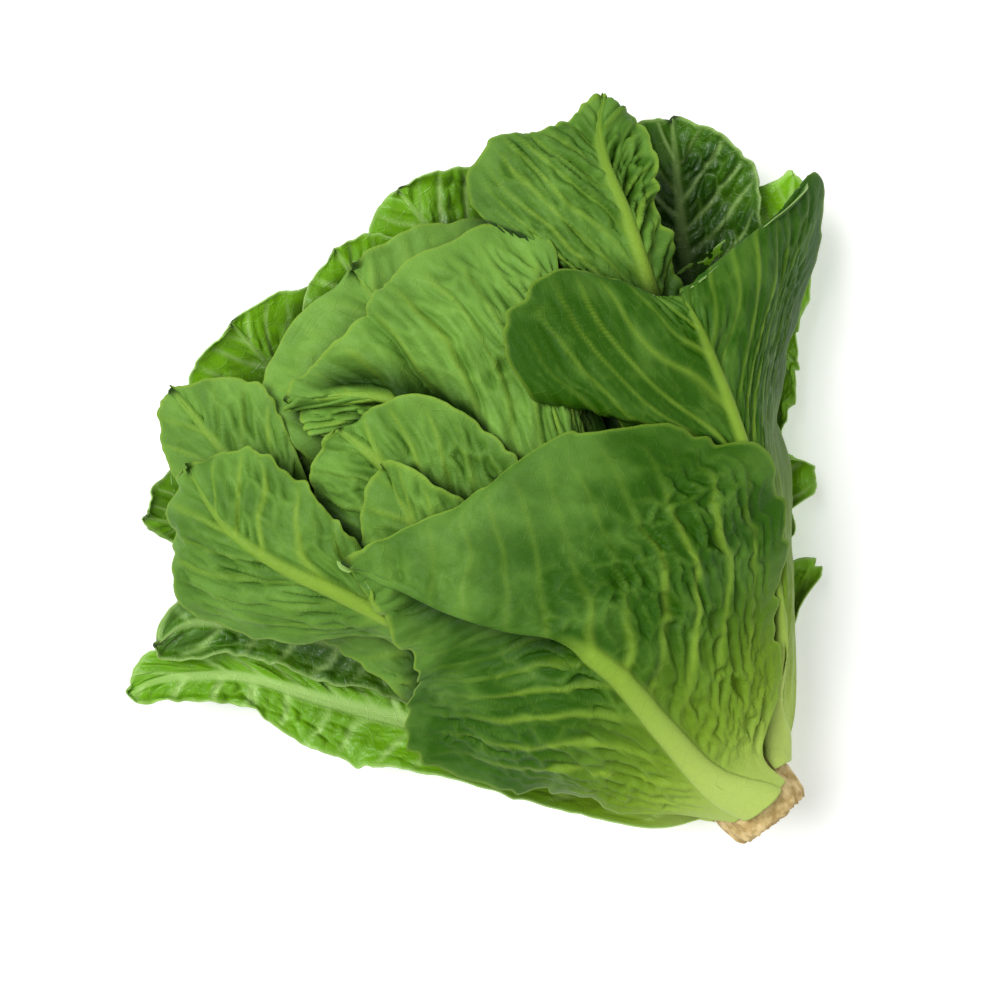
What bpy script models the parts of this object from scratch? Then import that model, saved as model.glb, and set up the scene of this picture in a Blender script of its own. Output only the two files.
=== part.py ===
"""A romaine lettuce head lying on its side, cut stem towards -Y and leaf tips towards +Y.

Every leaf is one closed solid: a smooth surface spread between its midrib and its two margins,
laid on the leaves below it, and given thickness on its back, where the midrib stands out.
Run it with blender --background --python part.py, or from Blender's text editor.
"""

import math

import bpy
import numpy as np
from mathutils import Vector
from mathutils.bvhtree import BVHTree

MM = 0.001

# The stem: a short cut stump outside the leaves, and a cone inside that the leaves grow from.
STEM_X, STEM_Z = 4.0, 38.0
STEM_PROFILE = [
    (-165, 14.5), (-163, 16), (-152, 16), (-146, 14.5), (-130, 11.5), (-110, 8), (-96, 5), (-90, 2.5),
]
STEM_SIDES = 24

ROWS, COLUMNS = 11, 6  # faces along a leaf and across it
BLADE = 0.9  # thickness of the blade
BASE_GAP = 0.9  # from the stem's skin to the front of a leaf's base
LEAF_GAP = 1.0  # between one leaf and the next
REACH = 9.0  # how deep inside a placed leaf a point may start and still be pushed out of it
SETTLE_STEPS = 40
SETTLE_MOVE = 2.0  # the most that a point moves in one step
PRESSED = 3.6  # how far the back of the lowest leaf has given way where it lies on the surface

# The leaves from the lowest to the topmost. "back" up or "front" up; grows = degrees round the
# stem from its top towards +X, Y along it, and the degrees that each half of the base covers;
# points in mm from base to tip, the last of rib is the tip; bulge = how far each half swells, as a
# share of its width, unless a line half way out is given; rib_mm = midrib's thickness.
LOWER_LEAVES = {
    "bottom_outer_leaf": dict(
        up="front", grows=(180, -150, 34), bulge=(-0.06, -0.06), rib_mm=3.4,
        rib=[(2, -125, 6), (0, -95, 1), (0, -60, 0), (2, -25, 2), (5, 10, 8), (6, 45, 18)],
        left=[(-22, -122, 12), (-42, -92, 10), (-56, -55, 9), (-55, -15, 11), (-38, 22, 16)],
        right=[(26, -122, 12), (46, -90, 10), (58, -52, 9), (58, -12, 11), (42, 24, 16)],
    ),
    "lower_left_leaf": dict(
        up="front", grows=(-122, -150, 24), bulge=(-0.06, -0.06), rib_mm=3.2,
        rib=[
            (-34, -116, 10), (-58, -84, 6), (-80, -54, 6), (-99, -28, 9), (-114, -6, 13),
            (-130, 8, 17), (-142, 15, 19), (-153, 17, 20),
        ],
        left=[
            (-34, -140, 22), (-59, -108, 22), (-83, -79, 18), (-101, -57, 16), (-114, -35, 16),
            (-122, -14, 17), (-137, 0, 18), (-147, 9, 19),
        ],
        right=[
            (-20, -108, 10), (-36, -66, 10), (-58, -32, 14), (-84, -8, 20), (-104, 8, 24),
            (-121, 19, 25), (-136, 23, 23), (-147, 21, 21),
        ],
    ),
    "right_under_leaf": dict(
        up="front", grows=(122, -150, 24), bulge=(-0.06, -0.08), rib_mm=3.2,
        rib=[
            (28, -128, 10), (52, -98, 5), (76, -70, 4), (100, -44, 6), (122, -20, 10),
            (142, -2, 16), (157, 13, 24),
        ],
        left=[(12, -118, 10), (22, -80, 6), (45, -45, 6), (72, -14, 8), (100, 8, 12), (130, 15, 18)],
        right=[
            (44, -128, 12), (59, -113, 13), (76, -106, 13), (68, -95, 14), (82, -85, 13),
            (96, -79, 13), (90, -66, 14),
            (101, -56, 14), (112, -46, 14), (118, -38, 15), (134, -26, 17), (150, -7, 21),
        ],
    ),
    "far_right_leaf": dict(
        up="front", grows=(150, -146, 28), bulge=(-0.06, -0.10), rib_mm=2.6,
        rib=[
            (22, -118, 14), (45, -85, 9), (68, -50, 9), (90, -15, 12), (110, 18, 17),
            (124, 40, 24), (134, 56, 33),
        ],
        left=[(8, -108, 13), (18, -68, 10), (38, -25, 11), (62, 12, 14), (88, 42, 21), (112, 60, 30)],
        right=[(38, -112, 15), (66, -80, 12), (92, -48, 13), (118, -18, 16), (140, 8, 25), (145, 32, 32)],
    ),
    "far_left_leaf": dict(
        up="front", grows=(-155, -146, 28), bulge=(-0.08, -0.08), rib_mm=2.6,
        rib=[
            (-6, -115, 12), (-14, -75, 8), (-22, -35, 10), (-28, 5, 14), (-33, 45, 21),
            (-36, 78, 29), (-37, 99, 38),
        ],
        left=[
            (-20, -110, 13), (-38, -70, 10), (-56, -30, 12), (-70, 10, 16), (-78, 50, 23),
            (-74, 78, 29), (-60, 93, 34),
        ],
        right=[
            (6, -108, 13), (12, -66, 11), (16, -25, 12), (16, 15, 17), (12, 55, 24), (4, 80, 30),
            (-14, 94, 35),
        ],
    ),
    "left_tip_leaf": dict(
        up="front", grows=(-135, -140, 26), bulge=(-0.08, -0.08), rib_mm=2.2,
        rib=[
            (-20, -112, 14), (-38, -75, 10), (-55, -38, 11), (-70, 0, 14), (-84, 32, 20),
            (-95, 50, 26), (-106, 63, 33),
        ],
        left=[
            (-30, -112, 14), (-46, -78, 11), (-68, -42, 12), (-85, -5, 15), (-104, 25, 21),
            (-104, 48, 27),
        ],
        right=[
            (-8, -106, 13), (-18, -65, 11), (-28, -25, 13), (-42, 15, 16), (-62, 48, 22),
            (-88, 70, 30),
        ],
    ),
    "left_under_leaf": dict(
        up="front", grows=(-115, -136, 20), bulge=(-0.08, -0.08), rib_mm=2.2,
        rib=[
            (-24, -108, 18), (-46, -72, 14), (-66, -38, 14), (-86, -8, 18), (-104, 12, 23),
            (-118, 23, 28), (-131, 24, 31),
        ],
        left=[
            (-34, -112, 18), (-62, -80, 15), (-76, -48, 15), (-96, -20, 19), (-110, 2, 24),
            (-130, 15, 28),
        ],
        right=[
            (-12, -98, 16), (-26, -58, 15), (-42, -20, 16), (-60, 10, 20), (-82, 28, 25),
            (-108, 32, 30),
        ],
    ),
    "far_middle_right_leaf": dict(
        up="front", grows=(160, -138, 30), bulge=(-0.06, -0.08), rib_mm=2.0,
        rib=[
            (12, -108, 18), (18, -68, 16), (25, -28, 18), (32, 12, 23), (37, 48, 30), (40, 76, 37),
            (40, 98, 42),
        ],
        left=[(0, -100, 18), (-4, -58, 16), (-2, -15, 18), (1, 28, 25), (5, 64, 33), (16, 88, 39)],
        right=[
            (26, -102, 18), (44, -62, 16), (62, -22, 18), (76, 18, 25), (84, 54, 31), (80, 78, 37),
            (64, 91, 40),
        ],
    ),
    "far_middle_leaf": dict(
        up="front", grows=(-172, -130, 34), bulge=(-0.06, -0.06), rib_mm=2.0,
        rib=[
            (0, -100, 22), (0, -60, 20), (1, -20, 23), (3, 20, 28), (6, 55, 35), (8, 80, 41),
            (9, 95, 45),
        ],
        left=[(-12, -94, 22), (-24, -52, 21), (-30, -8, 24), (-30, 35, 30), (-24, 68, 37), (-10, 88, 42)],
        right=[(12, -92, 22), (24, -50, 21), (32, -5, 24), (36, 38, 30), (34, 70, 37), (24, 90, 42)],
    ),
}

HEART_LEAVES = {
    "inner_heart_leaf": dict(
        up="front", grows=(160, -106, 38), bulge=(-0.12, -0.12), rib_mm=1.6,
        rib=[(3, -80, 34), (4, -48, 34), (5, -15, 36), (6, 18, 40), (7, 50, 46)],
        left=[(-6, -78, 37), (-14, -45, 39), (-16, -10, 41), (-10, 24, 44)],
        right=[(12, -78, 37), (24, -45, 38), (27, -10, 40), (22, 24, 44)],
    ),
    "lower_heart_leaf": dict(
        up="front", grows=(180, -116, 38), bulge=(-0.10, -0.10), rib_mm=1.8,
        rib=[(0, -88, 29), (0, -52, 27), (1, -15, 29), (2, 20, 33), (3, 50, 38), (4, 74, 43)],
        left=[(-14, -84, 32), (-30, -48, 33), (-38, -10, 35), (-38, 28, 38), (-26, 58, 42)],
        right=[(14, -84, 32), (30, -48, 33), (40, -10, 35), (42, 28, 38), (30, 58, 42)],
    ),
    "small_heart_leaf": dict(
        up="back", grows=(-20, -106, 38), bulge=(0.12, 0.12), rib_mm=1.6,
        rib=[(0, -80, 45), (-1, -50, 48), (-2, -18, 50), (-3, 14, 50), (-4, 40, 47)],
        left=[(-10, -78, 41), (-18, -46, 42), (-20, -12, 43), (-16, 20, 44)],
        right=[(10, -78, 41), (18, -46, 42), (18, -12, 43), (12, 20, 44)],
    ),
    "upper_heart_leaf": dict(
        up="back", grows=(20, -116, 38), bulge=(0.10, 0.10), rib_mm=1.8,
        rib=[(2, -88, 50), (3, -52, 54), (4, -15, 56), (5, 22, 55), (6, 60, 49)],
        left=[(-14, -84, 45), (-28, -46, 46), (-34, -8, 47), (-26, 32, 47)],
        right=[(16, -84, 45), (32, -46, 46), (40, -8, 47), (34, 32, 47)],
    ),
}

UPPER_LEAVES = {
    "right_inner_leaf": dict(
        up="back", grows=(62, -114, 24), bulge=(0.06, 0.08), rib_mm=2.2,
        rib=[(22, -100, 44), (34, -65, 46), (44, -30, 46), (54, 5, 46), (64, 38, 46), (72, 66, 42)],
        left=[(8, -92, 46), (12, -55, 50), (18, -18, 51), (26, 18, 51), (42, 50, 49)],
        right=[(34, -100, 38), (54, -66, 36), (70, -32, 36), (82, 2, 38), (86, 36, 38)],
    ),
    "left_inner_leaf": dict(
        up="back", grows=(-66, -116, 20), bulge=(0.08, 0.06), rib_mm=2.2,
        rib=[(-22, -98, 40), (-38, -70, 42), (-52, -42, 44), (-64, -16, 46), (-72, 6, 46)],
        left=[(-30, -100, 36), (-48, -74, 37), (-62, -46, 38), (-72, -20, 40)],
        right=[(-14, -92, 44), (-26, -60, 47), (-38, -30, 49), (-52, -2, 49)],
    ),
    "left_middle_leaf": dict(
        up="back", grows=(-48, -118, 28), bulge=(0.08, 0.06), rib_mm=2.2,
        rib=[
            (-16, -100, 50), (-26, -62, 54), (-34, -22, 56), (-40, 15, 58), (-44, 45, 56),
            (-46, 66, 52),
        ],
        left=[(-28, -100, 44), (-44, -60, 46), (-56, -20, 48), (-62, 15, 50), (-60, 45, 50)],
        right=[(-4, -94, 52), (-8, -55, 57), (-12, -15, 59), (-18, 20, 60), (-26, 48, 57)],
    ),
    "smooth_fold_leaf": dict(
        up="back", grows=(15, -120, 34), bulge=(0.06, 0.06), rib_mm=2.2,
        rib=[(4, -94, 54), (6, -55, 58), (8, -15, 60), (9, 25, 60), (9, 58, 56), (9, 84, 50)],
        left=[(-10, -92, 52), (-20, -50, 55), (-32, -8, 56), (-42, 36, 55), (-44, 72, 50)],
        right=[(16, -92, 52), (30, -50, 55), (44, -8, 56), (54, 36, 55), (55, 72, 50)],
    ),
    "upper_right_leaf": dict(
        up="back", grows=(55, -123, 28), bulge=(0.08, 0.06), rib_mm=2.6,
        rib=[
            (30, -104, 50), (50, -72, 55), (66, -40, 59), (79, -8, 63), (88, 14, 66), (96, 36, 66),
            (102, 56, 62), (109, 68, 57), (118, 76, 51),
        ],
        left=[
            (18, -98, 54), (30, -60, 58), (42, -22, 62), (54, 12, 65), (61, 42, 66), (56, 66, 64),
            (59, 81, 59),
            (74, 87, 56), (90, 81, 56), (104, 77, 54),
        ],
        right=[
            (38, -106, 44), (62, -76, 48), (78, -44, 51), (90, -12, 54), (98, 17, 58),
            (109, 35, 58), (117, 48, 56), (122, 61, 53),
        ],
    ),
    "upper_left_leaf": dict(
        up="back", grows=(-62, -126, 22), bulge=(0.08, 0.08), rib_mm=2.6,
        rib=[
            (-24, -108, 48), (-40, -72, 54), (-52, -36, 58), (-60, 0, 60), (-65, 32, 60),
            (-67, 62, 57), (-68, 92, 50),
        ],
        left=[
            (-32, -112, 42), (-56, -78, 46), (-74, -42, 48), (-84, -5, 50), (-88, 32, 50),
            (-87, 74, 48),
        ],
        right=[
            (-14, -100, 52), (-32, -62, 56), (-46, -24, 58), (-55, 10, 59), (-50, 42, 58),
            (-42, 72, 54),
        ],
    ),
    "centre_leaf": dict(
        up="back", grows=(5, -130, 34), bulge=(0.05, 0.10), rib_mm=2.6,
        rib=[
            (4, -112, 64), (8, -80, 73), (10, -45, 77), (10, -10, 79), (5, 12, 78), (-4, 30, 76),
            (-16, 46, 73), (-38, 61, 66),
        ],
        left=[
            (-6, -110, 60), (-8, -78, 68), (-4, -44, 71), (5, -12, 74), (-3, 13, 73),
            (-18, 31, 70), (-34, 43, 66), (-39, 53, 65),
        ],
        right=[
            (14, -110, 60), (26, -78, 66), (38, -44, 69), (46, -8, 70), (60, 22, 72), (72, 44, 70),
            (64, 62, 67),
            (50, 70, 66), (26, 71, 67), (2, 65, 69), (-22, 67, 67),
        ],
    ),
    "light_middle_leaf": dict(
        up="back", grows=(-30, -134, 28), bulge=(0.08, 0.06), rib_mm=2.4,
        rib=[(-8, -102, 62), (-14, -66, 68), (-20, -32, 73), (-24, 0, 77), (-26, 24, 78), (-30, 42, 75)],
        left=[(-22, -102, 54), (-38, -66, 57), (-48, -32, 60), (-54, 0, 63), (-52, 28, 67)],
        right=[(4, -98, 62), (8, -62, 68), (12, -28, 78), (12, 4, 82), (0, 32, 80)],
    ),
    "small_middle_leaf": dict(
        up="back", grows=(-38, -138, 26), bulge=(0.08, 0.08), rib_mm=2.0,
        rib=[(-12, -98, 66), (-20, -64, 73), (-27, -32, 79), (-30, -4, 82), (-25, 21, 82)],
        left=[(-24, -98, 60), (-40, -64, 64), (-50, -30, 69), (-50, 4, 74)],
        right=[(-2, -94, 68), (-4, -60, 75), (-8, -28, 83), (-14, 2, 86)],
    ),
    "left_outer_leaf": dict(
        up="back", grows=(-62, -145, 22), bulge=(0.06, 0.08), rib_mm=3.0,
        rib=[
            (-14, -128, 54), (-28, -96, 62), (-42, -62, 69), (-54, -30, 75), (-65, -5, 79),
            (-76, 18, 80), (-82, 40, 75), (-80, 65, 67),
        ],
        left=[
            (-24, -130, 44), (-42, -102, 47), (-52, -66, 52), (-60, -28, 62), (-86, -7, 60),
            (-112, 20, 53), (-106, 44, 56),
        ],
        right=[
            (-4, -124, 56), (-14, -92, 66), (-28, -56, 73), (-42, -22, 78), (-50, 6, 79),
            (-52, 28, 76), (-57, 54, 71),
        ],
    ),
    "right_outer_leaf": dict(
        up="back", grows=(62, -149, 24), bulge=(0.06, 0.08), rib_mm=3.2,
        rib=[
            (28, -134, 47), (48, -112, 55), (62, -88, 62), (73, -64, 70), (81, -42, 76),
            (87, -22, 80), (91, -8, 81), (93, 4, 80),
        ],
        left=[
            (18, -130, 52), (32, -98, 58), (42, -64, 65), (46, -32, 72), (50, -6, 79),
            (36, 14, 84), (38, 31, 85), (60, 37, 83), (78, 22, 81),
        ],
        right=[
            (34, -138, 40), (53, -114, 38), (68, -95, 33), (85, -75, 29), (98, -55, 27), (112, -41, 26),
            (128, -28, 27), (145, -17, 31), (159, -3, 37), (163, 8, 42), (140, 5, 58), (114, 4, 72),
        ],
        right_mid=[
            (34, -132, 46), (54, -108, 51), (71, -84, 56), (85, -60, 60), (96, -40, 62),
            (110, -25, 62), (124, -13, 62), (122, -2, 69), (104, 3, 77),
        ],
    ),
    "top_outer_leaf": dict(
        up="back", grows=(-2, -155, 42), bulge=(0.08, 0.08), rib_mm=4.0,
        rib=[
            (-5, -136, 66), (-7, -110, 80), (-8, -84, 91), (-15, -64, 96), (-28, -49, 97),
            (-40, -31, 95), (-49, -12, 90), (-56, 1, 85),
        ],
        left=[
            (-20, -142, 53), (-36, -127, 49), (-49, -107, 48), (-70, -90, 46), (-84, -69, 46),
            (-77, -51, 54), (-62, -43, 66), (-58, -28, 75), (-57, -12, 81),
        ],
        left_mid=[
            (-15, -138, 62), (-27, -114, 68), (-38, -88, 74), (-39, -66, 79), (-41, -51, 82),
            (-48, -36, 84), (-54, -18, 85),
        ],
        right=[
            (15, -141, 60), (32, -128, 58), (45, -110, 60), (63, -93, 61), (73, -73, 64), (76, -55, 68),
            (66, -40, 76), (52, -22, 83), (25, -13, 89), (-8, -9, 92), (-32, -1, 89),
        ],
    ),
}

# From the heart outwards: each leaf is settled outside the ones before it.
LEAVES = {
    **HEART_LEAVES,
    **dict(reversed(LOWER_LEAVES.items())),
    **UPPER_LEAVES,
}

LEAF_COLOURS = {"back": (0.17, 0.31, 0.06), "front": (0.10, 0.27, 0.02)}
STEM_COLOUR = (0.62, 0.47, 0.26)


def stem_radius(y):
    """The stem's radius at a place along it."""
    places, radii = zip(*STEM_PROFILE)
    return float(np.interp(y, places, radii))


def curve_through(points, at):
    """Places on a smooth curve through the points, at = 0 for the first and 1 more for each next."""
    points = np.asarray(points, float)
    ends = np.vstack([2 * points[0] - points[1], points, 2 * points[-1] - points[-2]])
    first = np.clip(np.floor(at).astype(int), 0, len(points) - 2)
    f = (np.asarray(at) - first)[:, None]
    a, b, c, d = (ends[first + k] for k in range(4))
    return 0.5 * (2 * b + (c - a) * f + (2 * a - 5 * b + 4 * c - d) * f**2 + (3 * b - a - 3 * c + d) * f**3)


def base_row(leaf):
    """Left, middle and right of a leaf's base, on the stem's skin, and the places half way between them."""
    angle, y, spread = leaf["grows"]
    spread = spread if leaf["up"] == "back" else -spread
    reach = stem_radius(y) + BASE_GAP
    row = []
    for share in (-1, -0.5, 0, 0.5, 1):
        turn = math.radians(angle + share * spread)
        row.append((STEM_X + reach * math.sin(turn), y, STEM_Z + reach * math.cos(turn)))
    return (row[0], row[2], row[4]), {-1: row[1], 1: row[3]}


def leaf_surface(leaf, rows, columns):
    """A leaf's front as points [row from base to tip, column from left to right margin]."""
    (base_left, base_rib, base_right), base_mids = base_row(leaf)
    rib = [base_rib, *leaf["rib"]]
    s = np.linspace(0, 1, rows + 1)
    middle = curve_through(rib, s * (len(rib) - 1))
    outline = [base_left, *leaf["left"], rib[-1], *reversed(leaf["right"]), base_right]
    lefts, rights = len(leaf["left"]) + 1, len(leaf["right"]) + 1
    margins = {-1: curve_through(outline, s * lefts), 1: curve_through(outline, lefts + (1 - s) * rights)}
    across = margins[1] - margins[-1]
    up = np.cross(across, np.gradient(middle, axis=0))
    up[-1] = up[-2]
    up /= np.linalg.norm(up, axis=1)[:, None]
    between = {}
    for side, key in ((-1, "left_mid"), (1, "right_mid")):
        if key in leaf:
            points = [base_mids[side], *leaf[key], rib[-1]]
            between[side] = curve_through(points, s * (len(points) - 1))
        else:
            half = margins[side] - middle
            swell = leaf["bulge"][0 if side < 0 else 1] * np.linalg.norm(half, axis=1)
            between[side] = middle + half / 2 + swell[:, None] * up
    surface = np.empty((rows + 1, columns + 1, 3))
    for column, v in enumerate(np.linspace(-1, 1, columns + 1)):
        side = -1 if v < 0 else 1
        a = abs(v)
        inner, outer = (1 - a) * (1 - 2 * a) * middle, a * (2 * a - 1) * margins[side]
        surface[:, column] = inner + 4 * a * (1 - a) * between[side] + outer
    return surface


def rib_share(leaf, rows, columns):
    """How much of the midrib's thickness each point has: 1 on the rib at the base, 0 on the blade."""
    s = np.linspace(0, 1, rows + 1)[:, None]
    v = np.linspace(-1, 1, columns + 1)[None, :]
    return (1 - s) ** 1.3 * np.clip(1 - 2.2 * np.abs(v) * (0.35 + s), 0, 1)


def back_of(surface, thickness, up):
    """The back of a leaf: its front moved out by the thickness."""
    along, across = np.gradient(surface, axis=0), np.gradient(surface, axis=1)
    normal = np.cross(across, along)
    normal /= np.linalg.norm(normal, axis=2)[:, :, None] + 1e-9
    return surface + normal * thickness[:, :, None] * (1 if up == "back" else -1)


def finer(grid, times):
    """The grid with straight steps put in between its points."""
    for axis in (0, 1):
        count = grid.shape[axis]
        at = np.linspace(0, count - 1, (count - 1) * times + 1)
        first = np.minimum(at.astype(int), count - 2)
        f = (at - first).reshape((-1, 1, 1) if axis == 0 else (1, -1, 1))
        grid = np.take(grid, first, axis) * (1 - f) + np.take(grid, first + 1, axis) * f
    return grid


def coarser(values, times):
    """The weighted mean of the values round each coarse point, counting only those that are not zero."""
    counts = (np.linalg.norm(values, axis=2) > 0).astype(float)
    sums = [values, counts[:, :, None]]
    for axis in (0, 1):
        for k, field in enumerate(sums):
            size = field.shape[axis]
            total = 0
            for step in range(-times + 1, times):
                where = np.arange(0, size, times) + step
                valid = (where >= 0) & (where < size)
                taken = np.take(field, np.clip(where, 0, size - 1), axis)
                weight = (1 - abs(step) / times) * valid
                total = total + taken * weight.reshape((-1, 1, 1) if axis == 0 else (1, -1, 1))
            sums[k] = total
    return sums[0] / np.maximum(sums[1], 1e-6)


def tree_of(grid, outward):
    """A search tree over the grid's faces, their normals towards +Z side for outward = 1."""
    columns = grid.shape[1]
    faces = []
    for i in range(grid.shape[0] - 1):
        for j in range(columns - 1):
            k = i * columns + j
            face = (k, k + 1, k + columns + 1, k + columns)
            faces.append(face if outward > 0 else face[::-1])
    return BVHTree.FromPolygons(grid.reshape(-1, 3).tolist(), faces)


def shortfall(point, tree, side):
    """What the point lacks from LEAF_GAP on the wanted side (1 or -1) of the tree's surface."""
    place, normal, face, distance = tree.find_nearest(point, REACH)
    if place is None:
        return None
    depth = side * (Vector(point) - place).dot(normal)
    if distance > LEAF_GAP and abs(depth) < 0.9 * distance:
        return None
    if depth > LEAF_GAP:
        return None
    across = Vector((normal.x, 0, normal.z))
    return face, across * ((LEAF_GAP - depth) / max(across.length_squared, 0.2))


def settle(surface, outward, placed):
    """Pushes a leaf outwards until its front is clear of every placed surface."""
    times = 2
    start = surface.copy()
    for _ in range(SETTLE_STEPS):
        fine = finer(surface, times)
        columns = fine.shape[1]
        own = tree_of(fine, outward)
        push = np.zeros_like(fine).reshape(-1, 3)
        for tree, points in placed:
            for k, point in enumerate(fine.reshape(-1, 3)):
                lack = shortfall(point, tree, 1)
                if lack and np.linalg.norm(push[k]) < lack[1].length:
                    push[k] = lack[1]
            for point in points:
                lack = shortfall(point, own, -1)
                if lack:
                    row, column = divmod(lack[0], columns - 1)
                    for k in (row * columns + column, (row + 1) * columns + column + 1):
                        if np.linalg.norm(push[k]) < lack[1].length:
                            push[k] = lack[1]
        if not push.any():
            break
        move = coarser(push.reshape(fine.shape), times)
        padded = np.pad(move, ((1, 1), (1, 1), (0, 0)), mode="edge")
        rows, places = move.shape[:2]
        spread = sum(padded[i : i + rows, j : j + places] for i in range(3) for j in range(3)) / 9
        move = np.where(np.abs(move) > np.abs(spread), move, spread)
        length = np.linalg.norm(move, axis=2)[:, :, None]
        surface += move * np.minimum(1, SETTLE_MOVE / np.maximum(length, 1e-6))
    return float(np.abs(surface - start).max())


def stem_grid():
    """The stem's skin as a grid, round it and along it."""
    turns = np.radians(np.linspace(0, 360, STEM_SIDES + 1))
    ys = np.array([y for y, _ in STEM_PROFILE])
    rs = np.array([r for _, r in STEM_PROFILE])
    grid = np.empty((len(ys), len(turns), 3))
    grid[..., 0] = STEM_X + rs[:, None] * np.sin(turns)
    grid[..., 1] = ys[:, None]
    grid[..., 2] = STEM_Z + rs[:, None] * np.cos(turns)
    return grid


def material(name, colour, roughness):
    made = bpy.data.materials.new(name)
    made.use_nodes = True
    shader = made.node_tree.nodes["Principled BSDF"]
    shader.inputs["Base Color"].default_value = (*colour, 1)
    shader.inputs["Roughness"].default_value = roughness
    shader.inputs["Metallic"].default_value = 0
    return made


def add_leaf(name, leaf, surface, share, collection):
    """A leaf as a grid laid on its surface, with a Solidify whose vertex group thickens the midrib."""
    bpy.ops.mesh.primitive_grid_add(x_subdivisions=COLUMNS, y_subdivisions=ROWS, size=1)
    obj = bpy.context.object
    obj.name = obj.data.name = name
    for owner in obj.users_collection:
        owner.objects.unlink(obj)
    collection.objects.link(obj)
    obj.data.vertices.foreach_set("co", (surface * MM).astype(np.float32).ravel())
    group = obj.vertex_groups.new(name="midrib")
    for index, weight in enumerate(share.ravel()):
        group.add([index], float(weight), "REPLACE")
    weld = obj.modifiers.new("close_tip", "WELD")
    weld.merge_threshold = 0.00005
    solidify = obj.modifiers.new("thickness", "SOLIDIFY")
    solidify.thickness = leaf["rib_mm"] * MM
    solidify.offset = 1 if leaf["up"] == "back" else -1
    solidify.vertex_group = "midrib"
    solidify.thickness_vertex_group = BLADE / leaf["rib_mm"]
    obj.data.materials.append(material(name, LEAF_COLOURS[leaf["up"]], 0.45))
    return obj


def add_stem(collection):
    """The stem, turned round its own axis from its profile."""
    mesh = bpy.data.meshes.new("stem")
    places = [(0, STEM_PROFILE[0][0]), *[(r, y) for y, r in STEM_PROFILE], (0, STEM_PROFILE[-1][0] + 1)]
    edges = [(i, i + 1) for i in range(len(places) - 1)]
    mesh.from_pydata([(r * MM, 0, -y * MM) for r, y in places], edges, [])
    obj = bpy.data.objects.new("stem", mesh)
    collection.objects.link(obj)
    turn = obj.modifiers.new("turned", "SCREW")
    turn.steps = turn.render_steps = STEM_SIDES
    turn.use_merge_vertices = True
    turn.merge_threshold = 0.00001
    obj.location = (STEM_X * MM, 0, STEM_Z * MM)
    obj.rotation_euler = (math.radians(90), 0, 0)
    obj.data.materials.append(material("stem", STEM_COLOUR, 0.8))
    return obj


def evaluated_points(obj):
    """The world places of an object's vertices with its modifiers."""
    bpy.context.view_layer.update()
    evaluated = obj.evaluated_get(bpy.context.evaluated_depsgraph_get())
    mesh = evaluated.to_mesh()
    points = np.array([evaluated.matrix_world @ v.co for v in mesh.vertices])
    evaluated.to_mesh_clear()
    return points


def press_flat(obj, lowest):
    """Applies the leaf's modifiers, and flattens its back where it lies on the surface below."""
    bpy.context.view_layer.objects.active = obj
    for modifier in list(obj.modifiers):
        bpy.ops.object.modifier_apply(modifier=modifier.name)
    count = len(obj.data.vertices)
    for vertex in obj.data.vertices:
        if vertex.index >= count // 2 and vertex.co.z < lowest + PRESSED * MM:
            vertex.co.z = lowest


def build():
    for obj in list(bpy.data.objects):
        bpy.data.objects.remove(obj)
    collection = bpy.data.collections.new("romaine_lettuce_head")
    bpy.context.scene.collection.children.link(collection)
    skin = stem_grid()
    inside_of_lower = [(tree_of(skin, 1), skin.reshape(-1, 3))]
    inside_of_upper = list(inside_of_lower)
    parts = []
    for name, leaf in LEAVES.items():
        outward = 1 if leaf["up"] == "back" else -1
        surface = leaf_surface(leaf, ROWS, COLUMNS)
        share = rib_share(leaf, ROWS, COLUMNS)
        moved = settle(surface, outward, inside_of_upper if outward > 0 else inside_of_lower)
        print(f"{name} moved by {moved:.1f} mm")
        back = finer(back_of(surface, BLADE + (leaf["rib_mm"] - BLADE) * share, leaf["up"]), 2)
        front = finer(surface, 2)
        as_back = (tree_of(back, outward), back.reshape(-1, 3))
        as_front = (tree_of(front, -outward), front.reshape(-1, 3))
        (inside_of_upper if outward > 0 else inside_of_lower).append(as_back)
        (inside_of_lower if outward > 0 else inside_of_upper).append(as_front)
        parts.append(add_leaf(name, leaf, surface, share, collection))
    parts.append(add_stem(collection))
    points = np.concatenate([evaluated_points(part) for part in parts])
    press_flat(bpy.data.objects["bottom_outer_leaf"], float(points[:, 2].min()))
    low, high = points.min(0), points.max(0)
    middle = (low + high) / 2
    head = bpy.data.objects.new("head", None)
    collection.objects.link(head)
    head.location = (-middle[0], -middle[1], -low[2])
    for part in parts:
        part.parent = head


build()
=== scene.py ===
"""The looks of a romaine lettuce head on its side, cut stem towards -Y and leaf tips towards +Y."""

import math

import bpy
import numpy as np
from mathutils import Euler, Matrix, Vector
from mathutils.bvhtree import BVHTree


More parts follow.
